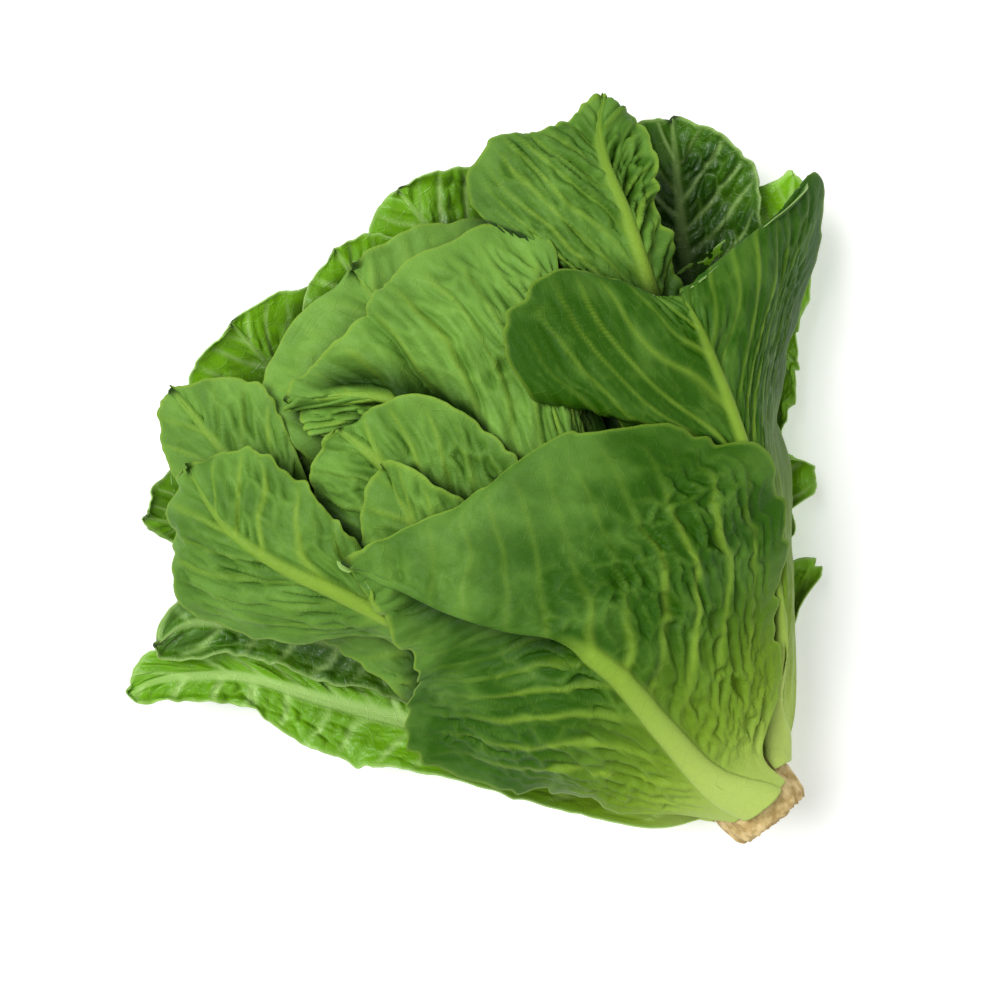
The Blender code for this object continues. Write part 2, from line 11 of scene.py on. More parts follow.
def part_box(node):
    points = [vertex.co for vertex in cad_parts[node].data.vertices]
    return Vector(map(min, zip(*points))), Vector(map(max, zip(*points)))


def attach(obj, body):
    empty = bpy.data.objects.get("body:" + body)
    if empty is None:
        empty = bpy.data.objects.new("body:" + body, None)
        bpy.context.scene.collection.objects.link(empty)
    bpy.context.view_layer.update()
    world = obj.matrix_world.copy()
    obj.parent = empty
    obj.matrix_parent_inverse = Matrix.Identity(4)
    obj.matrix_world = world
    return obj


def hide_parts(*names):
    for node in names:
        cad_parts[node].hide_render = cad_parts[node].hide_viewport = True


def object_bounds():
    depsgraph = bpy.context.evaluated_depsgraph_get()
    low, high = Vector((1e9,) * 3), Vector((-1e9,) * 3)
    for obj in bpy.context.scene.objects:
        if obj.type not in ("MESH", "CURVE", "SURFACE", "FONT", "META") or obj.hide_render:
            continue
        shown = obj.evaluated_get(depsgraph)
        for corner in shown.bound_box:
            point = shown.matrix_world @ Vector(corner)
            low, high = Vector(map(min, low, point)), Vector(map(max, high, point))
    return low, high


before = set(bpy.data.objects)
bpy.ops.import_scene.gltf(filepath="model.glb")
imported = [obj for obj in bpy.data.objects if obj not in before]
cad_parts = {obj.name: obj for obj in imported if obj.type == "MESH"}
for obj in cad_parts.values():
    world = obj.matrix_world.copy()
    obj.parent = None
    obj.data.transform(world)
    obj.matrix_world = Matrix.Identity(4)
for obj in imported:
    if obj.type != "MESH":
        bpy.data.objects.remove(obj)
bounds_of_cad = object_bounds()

MM = 0.001

# The stem. A pale core that every leaf grows from, of which only the cut stump shows: about 32 mm
# across, dry, tan and fibrous, with a rough cut end. It is one turned shape, closed at both ends.
STEM_X, STEM_Z = 4.0, 38.0
STEM_PROFILE = [
    (-165, 14.5), (-163, 16), (-152, 16), (-146, 14.5), (-130, 11.5), (-110, 8), (-96, 5), (-90, 2.5),
]
STUMP_RINGS, STUMP_SIDES = 90, 120
STUMP_LENGTH = 74  # how much of the stem is modelled, from its cut end
CUT_SHARE = 0.3  # the share of the rings that lie on the cut end

# The sizes below are in millimetres on a grid of their own: the stem's box says where that grid is.
stem_low, stem_high = (Vector(corner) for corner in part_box("stem"))
middle = (stem_low + stem_high) / 2
grid_start = (STEM_X, STEM_PROFILE[0][0], STEM_Z)
shift_mm = np.array([middle.x / MM, stem_low.y / MM, middle.z / MM]) - grid_start


def smooth_noise(x, y, seed):
    """Smooth random waves between -1 and 1, one unit from crest to crest or so."""
    table = np.random.default_rng(seed).uniform(-1, 1, (97, 89))
    i, j = np.floor(x).astype(int), np.floor(y).astype(int)
    fx, fy = x - i, y - j
    fx, fy = fx * fx * (3 - 2 * fx), fy * fy * (3 - 2 * fy)
    near, far = table[i % 97, j % 89], table[(i + 1) % 97, j % 89]
    near_up, far_up = table[i % 97, (j + 1) % 89], table[(i + 1) % 97, (j + 1) % 89]
    return (near * (1 - fx) + far * fx) * (1 - fy) + (near_up * (1 - fx) + far_up * fx) * fy


def smoothstep(low, high, x):
    t = np.clip((x - low) / (high - low), 0, 1)
    return t * t * (3 - 2 * t)


def new_material(name):
    made = bpy.data.materials.new(name)
    made.use_nodes = True
    made.node_tree.nodes.clear()
    return made, made.node_tree.nodes, made.node_tree.links


def mixed(nodes, links, factor, first, second):
    """A colour mix: each input is a socket or a fixed value."""
    mix = nodes.new("ShaderNodeMix")
    mix.data_type = "RGBA"
    for socket, value in ((mix.inputs[0], factor), (mix.inputs[6], first), (mix.inputs[7], second)):
        if isinstance(value, bpy.types.NodeSocket):
            links.new(value, socket)
        else:
            socket.default_value = value if socket.type == "VALUE" else (*value, 1)
    return mix.outputs[2]


def stretched(nodes, links, value, low, high, to_low=0.0, to_high=1.0):
    node = nodes.new("ShaderNodeMapRange")
    node.interpolation_type = "SMOOTHSTEP"
    links.new(value, node.inputs["Value"])
    keys = ("From Min", "From Max", "To Min", "To Max")
    for key, number in zip(keys, (low, high, to_low, to_high)):
        node.inputs[key].default_value = number
    return node.outputs[0]


def noise_texture(nodes, links, vector, scale, detail):
    node = nodes.new("ShaderNodeTexNoise")
    node.inputs["Scale"].default_value = scale
    node.inputs["Detail"].default_value = detail
    links.new(vector, node.inputs["Vector"])
    return node.outputs


def bumped(nodes, links, height, strength, distance):
    node = nodes.new("ShaderNodeBump")
    node.inputs["Strength"].default_value = strength
    node.inputs["Distance"].default_value = distance
    links.new(height, node.inputs["Height"])
    return node.outputs[0]


stem_material, nodes, links = new_material("stem_cut")
coords = nodes.new("ShaderNodeTexCoord")
fibre = noise_texture(nodes, links, coords.outputs["Object"], 260, 5)["Fac"]
light_fibre = stretched(nodes, links, fibre, 0.35, 0.7)
colour = mixed(nodes, links, light_fibre, (0.36, 0.24, 0.07), (0.68, 0.52, 0.24))
shader = nodes.new("ShaderNodeBsdfPrincipled")
links.new(colour, shader.inputs["Base Color"])
shader.inputs["Roughness"].default_value = 0.8
links.new(bumped(nodes, links, fibre, 0.8, 0.001), shader.inputs["Normal"])
out = nodes.new("ShaderNodeOutputMaterial")
links.new(shader.outputs[0], out.inputs[0])

bpy.ops.object.select_all(action="DESELECT")
bpy.ops.mesh.primitive_grid_add(x_subdivisions=STUMP_SIDES, y_subdivisions=STUMP_RINGS, size=1)
stump = bpy.context.object
stump.name = stump.data.name = "stem_piece"
along, turn = np.meshgrid(
    np.linspace(0, 1, STUMP_RINGS + 1), np.linspace(0, 2 * np.pi, STUMP_SIDES + 1), indexing="ij"
)
past_cut = np.maximum(along - CUT_SHARE, 0) / (1 - CUT_SHARE)
ys = STEM_PROFILE[0][0] + past_cut * STUMP_LENGTH
radii = np.interp(ys, *zip(*STEM_PROFILE)) * np.minimum(along / CUT_SHARE, 1)
ripple = 1 + 0.06 * smooth_noise(np.cos(turn) * 2 + 5, np.sin(turn) * 2 + 5, 5)
ripple += 0.05 * smooth_noise(np.cos(turn) * 8 + 9, np.sin(turn) * 8 + ys / 9, 6)
ripple -= 0.06 * smoothstep(0.1, 0.3, along) * smoothstep(0.4, 0.3, along)
bumpy = 1.6 * smooth_noise(radii * np.cos(turn) / 4 + 9, radii * np.sin(turn) / 4 + 9, 7)
bumpy += 1.4 * smooth_noise(radii * np.cos(turn) / 1.6 + 9, radii * np.sin(turn) / 1.6 + 9, 8)
bumpy = bumpy * smoothstep(0.5, 0.3, along)
rounds = radii * ripple
stem_points = np.stack(
    [STEM_X + rounds * np.sin(turn), ys + np.abs(bumpy), STEM_Z + rounds * np.cos(turn)], -1
)
stump.data.vertices.foreach_set("co", ((stem_points + shift_mm) * MM).astype(np.float32).ravel())
weld = stump.modifiers.new("seam", "WELD")
weld.merge_threshold = 0.00005
bpy.ops.object.modifier_apply(modifier="seam")
bpy.ops.object.mode_set(mode="EDIT")
bpy.ops.mesh.select_all(action="SELECT")
bpy.ops.mesh.fill_holes(sides=0)
bpy.ops.mesh.normals_make_consistent(inside=False)
bpy.ops.object.mode_set(mode="OBJECT")
stump.data.polygons.foreach_set("use_smooth", np.ones(len(stump.data.polygons), bool))
stump.data.materials.append(stem_material)
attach(stump, "root")
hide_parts("stem")

# The heart. Four small crisp leaves round the inner end of the stem, hidden by all the others.
# Each grows from the stem's skin, and its blade is under a millimetre thick.

# In every leaf, up says whether its back or its front is up, grows = degrees round the stem from
# its top towards +X, Y along it, and the degrees that each half of the base covers. Points run from
# base to tip, and the last of rib is the tip. bulge = how far each half swells, as a share of its
# width, unless a line half way out is given. rib_mm = the midrib's thickness.
# In look, rows and columns are the faces, tone is 0 for dark and 1 for light (the leaf's own green,
# with painted shade and painted light on the leaves marked below), the sizes in _mm are of the relief,
# least_open is the least sky share that the painted shade in the gaps counts with, and the rest are
# strengths of the effects that leaf_shape makes.
HEART_LEAVES = {
    "inner_heart_leaf": dict(
        up="front", grows=(160, -106, 38), bulge=(-0.12, -0.12), rib_mm=1.6,
        rib=[(3, -80, 34), (4, -48, 34), (5, -15, 36), (6, 18, 40), (7, 50, 46)],
        left=[(-6, -78, 37), (-14, -45, 39), (-16, -10, 41), (-10, 24, 44)],
        right=[(12, -78, 37), (24, -45, 38), (27, -10, 40), (22, 24, 44)],
    ),
    "lower_heart_leaf": dict(
        up="front", grows=(180, -116, 38), bulge=(-0.10, -0.10), rib_mm=1.8,
        rib=[(0, -88, 29), (0, -52, 27), (1, -15, 29), (2, 20, 33), (3, 50, 38), (4, 74, 43)],
        left=[(-14, -84, 32), (-30, -48, 33), (-38, -10, 35), (-38, 28, 38), (-26, 58, 42)],
        right=[(14, -84, 32), (30, -48, 33), (40, -10, 35), (42, 28, 38), (30, 58, 42)],
    ),
    "small_heart_leaf": dict(
        up="back", grows=(-20, -106, 38), bulge=(0.12, 0.12), rib_mm=1.6,
        rib=[(0, -80, 45), (-1, -50, 48), (-2, -18, 50), (-3, 14, 50), (-4, 40, 47)],
        left=[(-10, -78, 41), (-18, -46, 42), (-20, -12, 43), (-16, 20, 44)],
        right=[(10, -78, 41), (18, -46, 42), (18, -12, 43), (12, 20, 44)],
    ),
    "upper_heart_leaf": dict(
        up="back", grows=(20, -116, 38), bulge=(0.10, 0.10), rib_mm=1.8,
        rib=[(2, -88, 50), (3, -52, 54), (4, -15, 56), (5, 22, 55), (6, 60, 49)],
        left=[(-14, -84, 45), (-28, -46, 46), (-34, -8, 47), (-26, 32, 47)],
        right=[(16, -84, 45), (32, -46, 46), (40, -8, 47), (34, 32, 47)],
    ),
}
HIDDEN_LOOK = dict(rows=100, columns=60, tone=0.5)

# The lower leaves, fronts up. Soft blades with glossy fronts and white veins, growing from the
# underside of the stem. The head lies on the first of them, and their margins show round the fan.
LOWER_LEAVES = {
    "bottom_outer_leaf": dict(
        up="front", grows=(180, -150, 34), bulge=(-0.06, -0.06), rib_mm=3.4,
        # bleach=2.2 pales the whole leaf: partly its pale base, and partly painted light near the stem
        # where the head shades it.
        look=dict(rows=150, columns=100, tone=0.5, sway=0.5, bleach=2.2, least_open=0.9),
        rib=[(2, -125, 6), (0, -95, 1), (0, -60, 0), (2, -25, 2), (5, 10, 8), (6, 45, 18)],
        left=[(-22, -122, 12), (-42, -92, 10), (-56, -55, 9), (-55, -15, 11), (-38, 22, 16)],
        right=[(26, -122, 12), (46, -90, 10), (58, -52, 9), (58, -12, 11), (42, 24, 16)],
    ),
    "lower_left_leaf": dict(
        up="front", grows=(-122, -150, 24), bulge=(-0.06, -0.06), rib_mm=3.2,
        look=dict(
            rows=200, columns=100, tone=0.72, ruffle=3.2, veins=2.4, blister=1.6, bleach=0.3,
            least_open=0.8,
        ),
        rib=[(-34, -116, 10), (-58, -84, 6), (-80, -54, 6), (-99, -28, 9), (-114, -6, 13),
            (-130, 8, 17), (-142, 15, 19), (-153, 17, 20)],
        left=[(-34, -140, 22), (-59, -108, 22), (-83, -79, 18), (-101, -57, 16), (-114, -35, 16),
            (-122, -14, 17), (-137, 0, 18), (-147, 9, 19)],
        right=[(-20, -108, 10), (-36, -66, 10), (-58, -32, 14), (-84, -8, 20), (-104, 8, 24),
            (-121, 19, 25), (-136, 23, 23), (-147, 21, 21)],
    ),
    "right_under_leaf": dict(
        up="front", grows=(122, -150, 24), bulge=(-0.06, -0.08), rib_mm=3.2,
        # tone=1.0 is painted light on the tips, which lie in the shade of the leaf above, and
        # least_open=0.95 leaves them almost no painted shade.
        look=dict(
            rows=190, columns=90, tone=1.0, ruffle=3.4, uneven=2.6, veins=1.6, bleach=0.3,
            least_open=0.95,
        ),
        rib=[(28, -128, 10), (52, -98, 5), (76, -70, 4), (100, -44, 6), (122, -20, 10), (142, -2, 16),
            (157, 13, 24)],
        left=[(12, -118, 10), (22, -80, 6), (45, -45, 6), (72, -14, 8), (100, 8, 12), (130, 15, 18)],
        right=[(44, -128, 12), (59, -113, 13), (76, -106, 13), (68, -95, 14), (82, -85, 13),
            (96, -79, 13), (90, -66, 14), (101, -56, 14), (112, -46, 14), (118, -38, 15),
            (134, -26, 17), (150, -7, 21)],
    ),
    "far_right_leaf": dict(
        up="front", grows=(150, -146, 28), bulge=(-0.06, -0.10), rib_mm=2.6,
        look=dict(rows=190, columns=90, tone=0.16, veins=1.5, blister=1.8, bleach=0.2),
        rib=[(22, -118, 14), (45, -85, 9), (68, -50, 9), (90, -15, 12), (110, 18, 17), (124, 40, 24),
            (134, 56, 33)],
        left=[(8, -108, 13), (18, -68, 10), (38, -25, 11), (62, 12, 14), (88, 42, 21), (112, 60, 30)],
        right=[(38, -112, 15), (66, -80, 12), (92, -48, 13), (118, -18, 16), (140, 8, 25), (145, 32, 32)],
    ),
    "far_left_leaf": dict(
        up="front", grows=(-155, -146, 28), bulge=(-0.08, -0.08), rib_mm=2.6,
        look=dict(rows=190, columns=90, tone=1.0, bleach=0.2, veins=1.4, blister=1.4, least_open=0.3),
        rib=[(-6, -115, 12), (-14, -75, 8), (-22, -35, 10), (-28, 5, 14), (-33, 45, 21), (-36, 78, 29),
            (-37, 99, 38)],
        left=[(-20, -110, 13), (-38, -70, 10), (-56, -30, 12), (-70, 10, 16), (-78, 50, 23),
            (-74, 78, 29), (-60, 93, 34)],
        right=[(6, -108, 13), (12, -66, 11), (16, -25, 12), (16, 15, 17), (12, 55, 24), (4, 80, 30),
            (-14, 94, 35)],
    ),
    "left_tip_leaf": dict(
        up="front", grows=(-135, -140, 26), bulge=(-0.08, -0.08), rib_mm=2.2,
        look=dict(rows=160, columns=80, tone=0.6, bleach=0.2, veins=1.4, least_open=0.3),
        rib=[(-20, -112, 14), (-38, -75, 10), (-55, -38, 11), (-70, 0, 14), (-84, 32, 20),
            (-95, 50, 26), (-106, 63, 33)],
        left=[(-30, -112, 14), (-46, -78, 11), (-68, -42, 12), (-85, -5, 15), (-104, 25, 21),
            (-104, 48, 27)],
        right=[(-8, -106, 13), (-18, -65, 11), (-28, -25, 13), (-42, 15, 16), (-62, 48, 22),
            (-88, 70, 30)],
    ),
    "left_under_leaf": dict(
        up="front", grows=(-115, -136, 20), bulge=(-0.08, -0.08), rib_mm=2.2,
        # tone=0.25 is partly painted shade, for the leaf lying in the shade of the leaf above it.
        look=dict(rows=160, columns=80, tone=0.25, bleach=0.2),
        rib=[(-24, -108, 18), (-46, -72, 14), (-66, -38, 14), (-86, -8, 18), (-104, 12, 23),
            (-118, 23, 28), (-131, 24, 31)],
        left=[(-34, -112, 18), (-62, -80, 15), (-76, -48, 15), (-96, -20, 19), (-110, 2, 24),
            (-130, 15, 28)],
        right=[(-12, -98, 16), (-26, -58, 15), (-42, -20, 16), (-60, 10, 20), (-82, 28, 25),
            (-108, 32, 30)],
    ),
    "far_middle_right_leaf": dict(
        up="front", grows=(160, -138, 30), bulge=(-0.06, -0.08), rib_mm=2.0,
        look=dict(rows=190, columns=90, tone=0.75, bleach=0.2, veins=1.4, least_open=0.3),
        rib=[(12, -108, 18), (18, -68, 16), (25, -28, 18), (32, 12, 23), (37, 48, 30), (40, 76, 37),
            (40, 98, 42)],
        left=[(0, -100, 18), (-4, -58, 16), (-2, -15, 18), (1, 28, 25), (5, 64, 33), (16, 88, 39)],
        right=[(26, -102, 18), (44, -62, 16), (62, -22, 18), (76, 18, 25), (84, 54, 31), (80, 78, 37),
            (64, 91, 40)],
    ),
    "far_middle_leaf": dict(
        up="front", grows=(-172, -130, 34), bulge=(-0.06, -0.06), rib_mm=2.0,
        look=dict(rows=150, columns=80, tone=0.8, bleach=0.2, veins=1.4, least_open=0.3),
        rib=[(0, -100, 22), (0, -60, 20), (1, -20, 23), (3, 20, 28), (6, 55, 35), (8, 80, 41),
            (9, 95, 45)],
        left=[(-12, -94, 22), (-24, -52, 21), (-30, -8, 24), (-30, 35, 30), (-24, 68, 37), (-10, 88, 42)],
        right=[(12, -92, 22), (24, -50, 21), (32, -5, 24), (36, 38, 30), (34, 70, 37), (24, 90, 42)],
    ),
}

# The upper leaves, backs up. Broad outer leaves with matte, lighter backs and thick yellow-green
# midribs. They grow from the top of the stem, and each lies on the ones under it.
UPPER_LEAVES = {
    "right_inner_leaf": dict(
        up="back", grows=(62, -114, 24), bulge=(0.06, 0.08), rib_mm=2.2,
        rib=[(22, -100, 44), (34, -65, 46), (44, -30, 46), (54, 5, 46), (64, 38, 46), (72, 66, 42)],
        left=[(8, -92, 46), (12, -55, 50), (18, -18, 51), (26, 18, 51), (42, 50, 49)],
        right=[(34, -100, 38), (54, -66, 36), (70, -32, 36), (82, 2, 38), (86, 36, 38)],
    ),
    "left_inner_leaf": dict(
        up="back", grows=(-66, -116, 20), bulge=(0.08, 0.06), rib_mm=2.2,
        # tone=0.10 is painted shade: the leaf shows only in the dark gap under its neighbours.
        look=dict(rows=120, columns=60, tone=0.10),
        rib=[(-22, -98, 40), (-38, -70, 42), (-52, -42, 44), (-64, -16, 46), (-72, 6, 46)],
        left=[(-30, -100, 36), (-48, -74, 37), (-62, -46, 38), (-72, -20, 40)],
        right=[(-14, -92, 44), (-26, -60, 47), (-38, -30, 49), (-52, -2, 49)],
    ),
    "left_middle_leaf": dict(
        up="back", grows=(-48, -118, 28), bulge=(0.08, 0.06), rib_mm=2.2,
        rib=[(-16, -100, 50), (-26, -62, 54), (-34, -22, 56), (-40, 15, 58), (-44, 45, 56),
            (-46, 66, 52)],
        left=[(-28, -100, 44), (-44, -60, 46), (-56, -20, 48), (-62, 15, 50), (-60, 45, 50)],
        right=[(-4, -94, 52), (-8, -55, 57), (-12, -15, 59), (-18, 20, 60), (-26, 48, 57)],
    ),
    "smooth_fold_leaf": dict(
        up="back", grows=(15, -120, 34), bulge=(0.06, 0.06), rib_mm=2.2,
        look=dict(rows=170, columns=130, tone=0.5, blister=1.5, folds=2.0, ruffle=3.4),
        rib=[(4, -94, 54), (6, -55, 58), (8, -15, 60), (9, 25, 60), (9, 58, 56), (9, 84, 50)],
        left=[(-10, -92, 52), (-20, -50, 55), (-32, -8, 56), (-42, 36, 55), (-44, 72, 50)],
        right=[(16, -92, 52), (30, -50, 55), (44, -8, 56), (54, 36, 55), (55, 72, 50)],
    ),
    "upper_right_leaf": dict(
        up="back", grows=(55, -123, 28), bulge=(0.08, 0.06), rib_mm=2.6,
        look=dict(
            rows=220, columns=120, tone=0.24, blister=2.6, folds=2.2, ruffle=3.2, sway=3.0, vein_mm=12,
        ),
        rib=[(30, -104, 50), (50, -72, 55), (66, -40, 59), (79, -8, 63), (88, 14, 66), (96, 36, 66),
            (102, 56, 62), (109, 68, 57), (118, 76, 51)],
        left=[(18, -98, 54), (30, -60, 58), (42, -22, 62), (54, 12, 65), (61, 42, 66), (56, 66, 64),
            (59, 81, 59), (74, 87, 56), (90, 81, 56), (104, 77, 54)],
        right=[(38, -106, 44), (62, -76, 48), (78, -44, 51), (90, -12, 54), (98, 17, 58), (109, 35, 58),
            (117, 48, 56), (122, 61, 53)],
    ),
    "upper_left_leaf": dict(
        up="back", grows=(-62, -126, 22), bulge=(0.08, 0.08), rib_mm=2.6,
        look=dict(rows=190, columns=80, tone=0.38, blister=1.5, ruffle=2.8),
        rib=[(-24, -108, 48), (-40, -72, 54), (-52, -36, 58), (-60, 0, 60), (-65, 32, 60),
            (-67, 62, 57), (-68, 92, 50)],
        left=[(-32, -112, 42), (-56, -78, 46), (-74, -42, 48), (-84, -5, 50), (-88, 32, 50),
            (-87, 74, 48)],
        right=[(-14, -100, 52), (-32, -62, 56), (-46, -24, 58), (-55, 10, 59), (-50, 42, 58),
            (-42, 72, 54)],
    ),
    "centre_leaf": dict(
        up="back", grows=(5, -130, 34), bulge=(0.05, 0.10), rib_mm=2.6,
        look=dict(
            rows=220, columns=170, tone=0.44, ruffle=3.2, blister=2.6, folds=3.4, fold_mm=40, sway=4.5,
            vein_mm=19, creases=[(0.55, 0.98, 5, 1)],
        ),
        rib=[(4, -112, 64), (8, -80, 73), (10, -45, 77), (10, -10, 79), (5, 12, 78), (-4, 30, 76),
            (-16, 46, 73), (-38, 61, 66)],
        left=[(-6, -110, 60), (-8, -78, 68), (-4, -44, 71), (5, -12, 74), (-3, 13, 73), (-18, 31, 70),
            (-34, 43, 66), (-39, 53, 65)],
        right=[(14, -110, 60), (26, -78, 66), (38, -44, 69), (46, -8, 70), (60, 22, 72), (72, 44, 70),
            (64, 62, 67), (50, 70, 66), (26, 71, 67), (2, 65, 69), (-22, 67, 67)],
    ),
    "light_middle_leaf": dict(
        up="back", grows=(-30, -134, 28), bulge=(0.08, 0.06), rib_mm=2.4,
        look=dict(rows=160, columns=100, tone=0.36, blister=1.6, folds=1.6, ruffle=2.8),
        rib=[(-8, -102, 62), (-14, -66, 68), (-20, -32, 73), (-24, 0, 77), (-26, 24, 78), (-30, 42, 75)],
        left=[(-22, -102, 54), (-38, -66, 57), (-48, -32, 60), (-54, 0, 63), (-52, 28, 67)],
        right=[(4, -98, 62), (8, -62, 68), (12, -28, 78), (12, 4, 82), (0, 32, 80)],
    ),
    "small_middle_leaf": dict(
        up="back", grows=(-38, -138, 26), bulge=(0.08, 0.08), rib_mm=2.0,
        look=dict(rows=140, columns=70, tone=0.40, blister=1.2, raised=[(0.9, 0.15, 4, 1)]),
        rib=[(-12, -98, 66), (-20, -64, 73), (-27, -32, 79), (-30, -4, 82), (-25, 21, 82)],
        left=[(-24, -98, 60), (-40, -64, 64), (-50, -30, 69), (-50, 4, 74)],
        right=[(-2, -94, 68), (-4, -60, 75), (-8, -28, 83), (-14, 2, 86)],
    ),
    "left_outer_leaf": dict(
        up="back", grows=(-62, -145, 22), bulge=(0.06, 0.08), rib_mm=3.0,
        look=dict(rows=190, columns=110, tone=0.30, ruffle=3.2, blister=1.5, folds=1.4, uneven=1.8),
        rib=[(-14, -128, 54), (-28, -96, 62), (-42, -62, 69), (-54, -30, 75), (-65, -5, 79),
            (-76, 18, 80), (-82, 40, 75), (-80, 65, 67)],
        left=[(-24, -130, 44), (-42, -102, 47), (-52, -66, 52), (-60, -28, 62), (-86, -7, 60),
            (-112, 20, 53), (-106, 44, 56)],
        right=[(-4, -124, 56), (-14, -92, 66), (-28, -56, 73), (-42, -22, 78), (-50, 6, 79),
            (-52, 28, 76), (-57, 54, 71)],
    ),
    "right_outer_leaf": dict(
        up="back", grows=(62, -149, 24), bulge=(0.06, 0.08), rib_mm=3.2,
        # tone=0.0 and tip_tone=0.05 are partly the leaf's own dark green and partly painted shade on its
        # steep side, turned away from the light.
        look=dict(
            rows=200, columns=160, tone=0.0, tip_tone=0.05, ruffle=2.6, veins=1.3, bleach=0.5,
            uneven=1.6, smooth_tip=0.3, raised=[(0.66, 0.12, 7, -1)],
        ),
        rib=[(28, -134, 47), (48, -112, 55), (62, -88, 62), (73, -64, 70), (81, -42, 76), (87, -22, 80),
            (91, -8, 81), (93, 4, 80)],
        left=[(18, -130, 52), (32, -98, 58), (42, -64, 65), (46, -32, 72), (50, -6, 79), (36, 14, 84),
            (38, 31, 85), (60, 37, 83), (78, 22, 81)],
        right=[(34, -138, 40), (53, -114, 38), (68, -95, 33), (85, -75, 29), (98, -55, 27),
            (112, -41, 26), (128, -28, 27), (145, -17, 31), (159, -3, 37), (163, 8, 42), (140, 5, 58),
            (114, 4, 72)],
        right_mid=[(34, -132, 46), (54, -108, 51), (71, -84, 56), (85, -60, 60), (96, -40, 62),
            (110, -25, 62), (124, -13, 62), (122, -2, 69), (104, 3, 77)],
    ),
    "top_outer_leaf": dict(
        up="back", grows=(-2, -155, 42), bulge=(0.08, 0.08), rib_mm=4.0,
        # tone=0.06 is partly painted shade on the lower blade turned away from the light, and
        # tip_tone=0.22 is partly painted light on the tip lobe that faces it.
        look=dict(
            rows=230, columns=180, tone=0.06, tip_tone=0.22, ruffle=2.8, blister=1.6, folds=1.5,
            sway=2.8, uneven=2.6, veins=1.1, rib_half=4.4, rib_end=0.54, smooth_tip=0.75,
            creases=[(0.42, 0.90, 11, -1)], raised=[(0.8, 0.2, 4, 1)],
        ),
        rib=[(-5, -136, 66), (-7, -110, 80), (-8, -84, 91), (-15, -64, 96), (-28, -49, 97),
            (-40, -31, 95), (-49, -12, 90), (-56, 1, 85)],
        left=[(-20, -142, 53), (-36, -127, 49), (-49, -107, 48), (-70, -90, 46), (-84, -69, 46),
            (-77, -51, 54), (-62, -43, 66), (-58, -28, 75), (-57, -12, 81)],
        left_mid=[(-15, -138, 62), (-27, -114, 68), (-38, -88, 74), (-39, -66, 79), (-41, -51, 82),
            (-48, -36, 84), (-54, -18, 85)],
        right=[(15, -141, 60), (32, -128, 58), (45, -110, 60), (63, -93, 61), (73, -73, 64),
            (76, -55, 68), (66, -40, 76), (52, -22, 83), (25, -13, 89), (-8, -9, 92), (-32, -1, 89)],
    ),
}

LEAVES = {
    **HEART_LEAVES,
    **dict(reversed(LOWER_LEAVES.items())),
    **UPPER_LEAVES,
}

# How the leaves lie. They are limp, so each rests on those nearer the heart, about a millimetre
# apart. A coarse copy of each leaf is pushed clear of the leaves already laid, in that order.
STEM_SIDES = 24
ROWS, COLUMNS = 11, 6  # faces along a leaf and across it
BLADE = 0.9  # thickness of the blade
BASE_GAP = 0.9  # from the stem's skin to the front of a leaf's base
LEAF_GAP = 1.0  # between one leaf and the next
REACH = 9.0  # how deep inside a placed leaf a point may start and still be pushed out of it
SETTLE_STEPS = 40
SETTLE_MOVE = 2.0  # the most that a point moves in one step


def stem_radius(y):
    """The stem's radius at a place along it."""
    places, radii = zip(*STEM_PROFILE)
    return float(np.interp(y, places, radii))


def curve_through(points, at):
    """Places on a smooth curve through the points, at = 0 for the first and 1 more for each next."""
    points = np.asarray(points, float)
    ends = np.vstack([2 * points[0] - points[1], points, 2 * points[-1] - points[-2]])
    first = np.clip(np.floor(at).astype(int), 0, len(points) - 2)
    f = (np.asarray(at) - first)[:, None]
    a, b, c, d = (ends[first + k] for k in range(4))
    curve = 2 * b + (c - a) * f + (2 * a - 5 * b + 4 * c - d) * f**2 + (3 * b - a - 3 * c + d) * f**3
    return 0.5 * curve


def base_row(leaf):
    """Left, middle and right of a leaf's base, on the stem's skin, and the places between them."""
    angle, y, spread = leaf["grows"]
    spread = spread if leaf["up"] == "back" else -spread
    reach = stem_radius(y) + BASE_GAP
    row = []
    for share in (-1, -0.5, 0, 0.5, 1):
        turn = math.radians(angle + share * spread)
        row.append((STEM_X + reach * math.sin(turn), y, STEM_Z + reach * math.cos(turn)))
    return (row[0], row[2], row[4]), {-1: row[1], 1: row[3]}


def leaf_surface(leaf, rows, columns):
    """A leaf's front as points [row from base to tip, column from left to right margin]."""
    (base_left, base_rib, base_right), base_mids = base_row(leaf)
    rib = [base_rib, *leaf["rib"]]
    s = np.linspace(0, 1, rows + 1)
    middle = curve_through(rib, s * (len(rib) - 1))
    outline = [base_left, *leaf["left"], rib[-1], *reversed(leaf["right"]), base_right]
    lefts, rights = len(leaf["left"]) + 1, len(leaf["right"]) + 1
    margins = {-1: curve_through(outline, s * lefts), 1: curve_through(outline, lefts + (1 - s) * rights)}
    across = margins[1] - margins[-1]
    up = np.cross(across, np.gradient(middle, axis=0))
    up[-1] = up[-2]
    up /= np.linalg.norm(up, axis=1)[:, None]
    between = {}
    for side, key in ((-1, "left_mid"), (1, "right_mid")):
        if key in leaf:
            points = [base_mids[side], *leaf[key], rib[-1]]
            between[side] = curve_through(points, s * (len(points) - 1))
        else:
            half = margins[side] - middle
            swell = leaf["bulge"][0 if side < 0 else 1] * np.linalg.norm(half, axis=1)
            between[side] = middle + half / 2 + swell[:, None] * up
    surface = np.empty((rows + 1, columns + 1, 3))
    for column, v in enumerate(np.linspace(-1, 1, columns + 1)):
        side = -1 if v < 0 else 1
        a = abs(v)
        inner, outer = (1 - a) * (1 - 2 * a) * middle, a * (2 * a - 1) * margins[side]
        surface[:, column] = inner + 4 * a * (1 - a) * between[side] + outer
    return surface


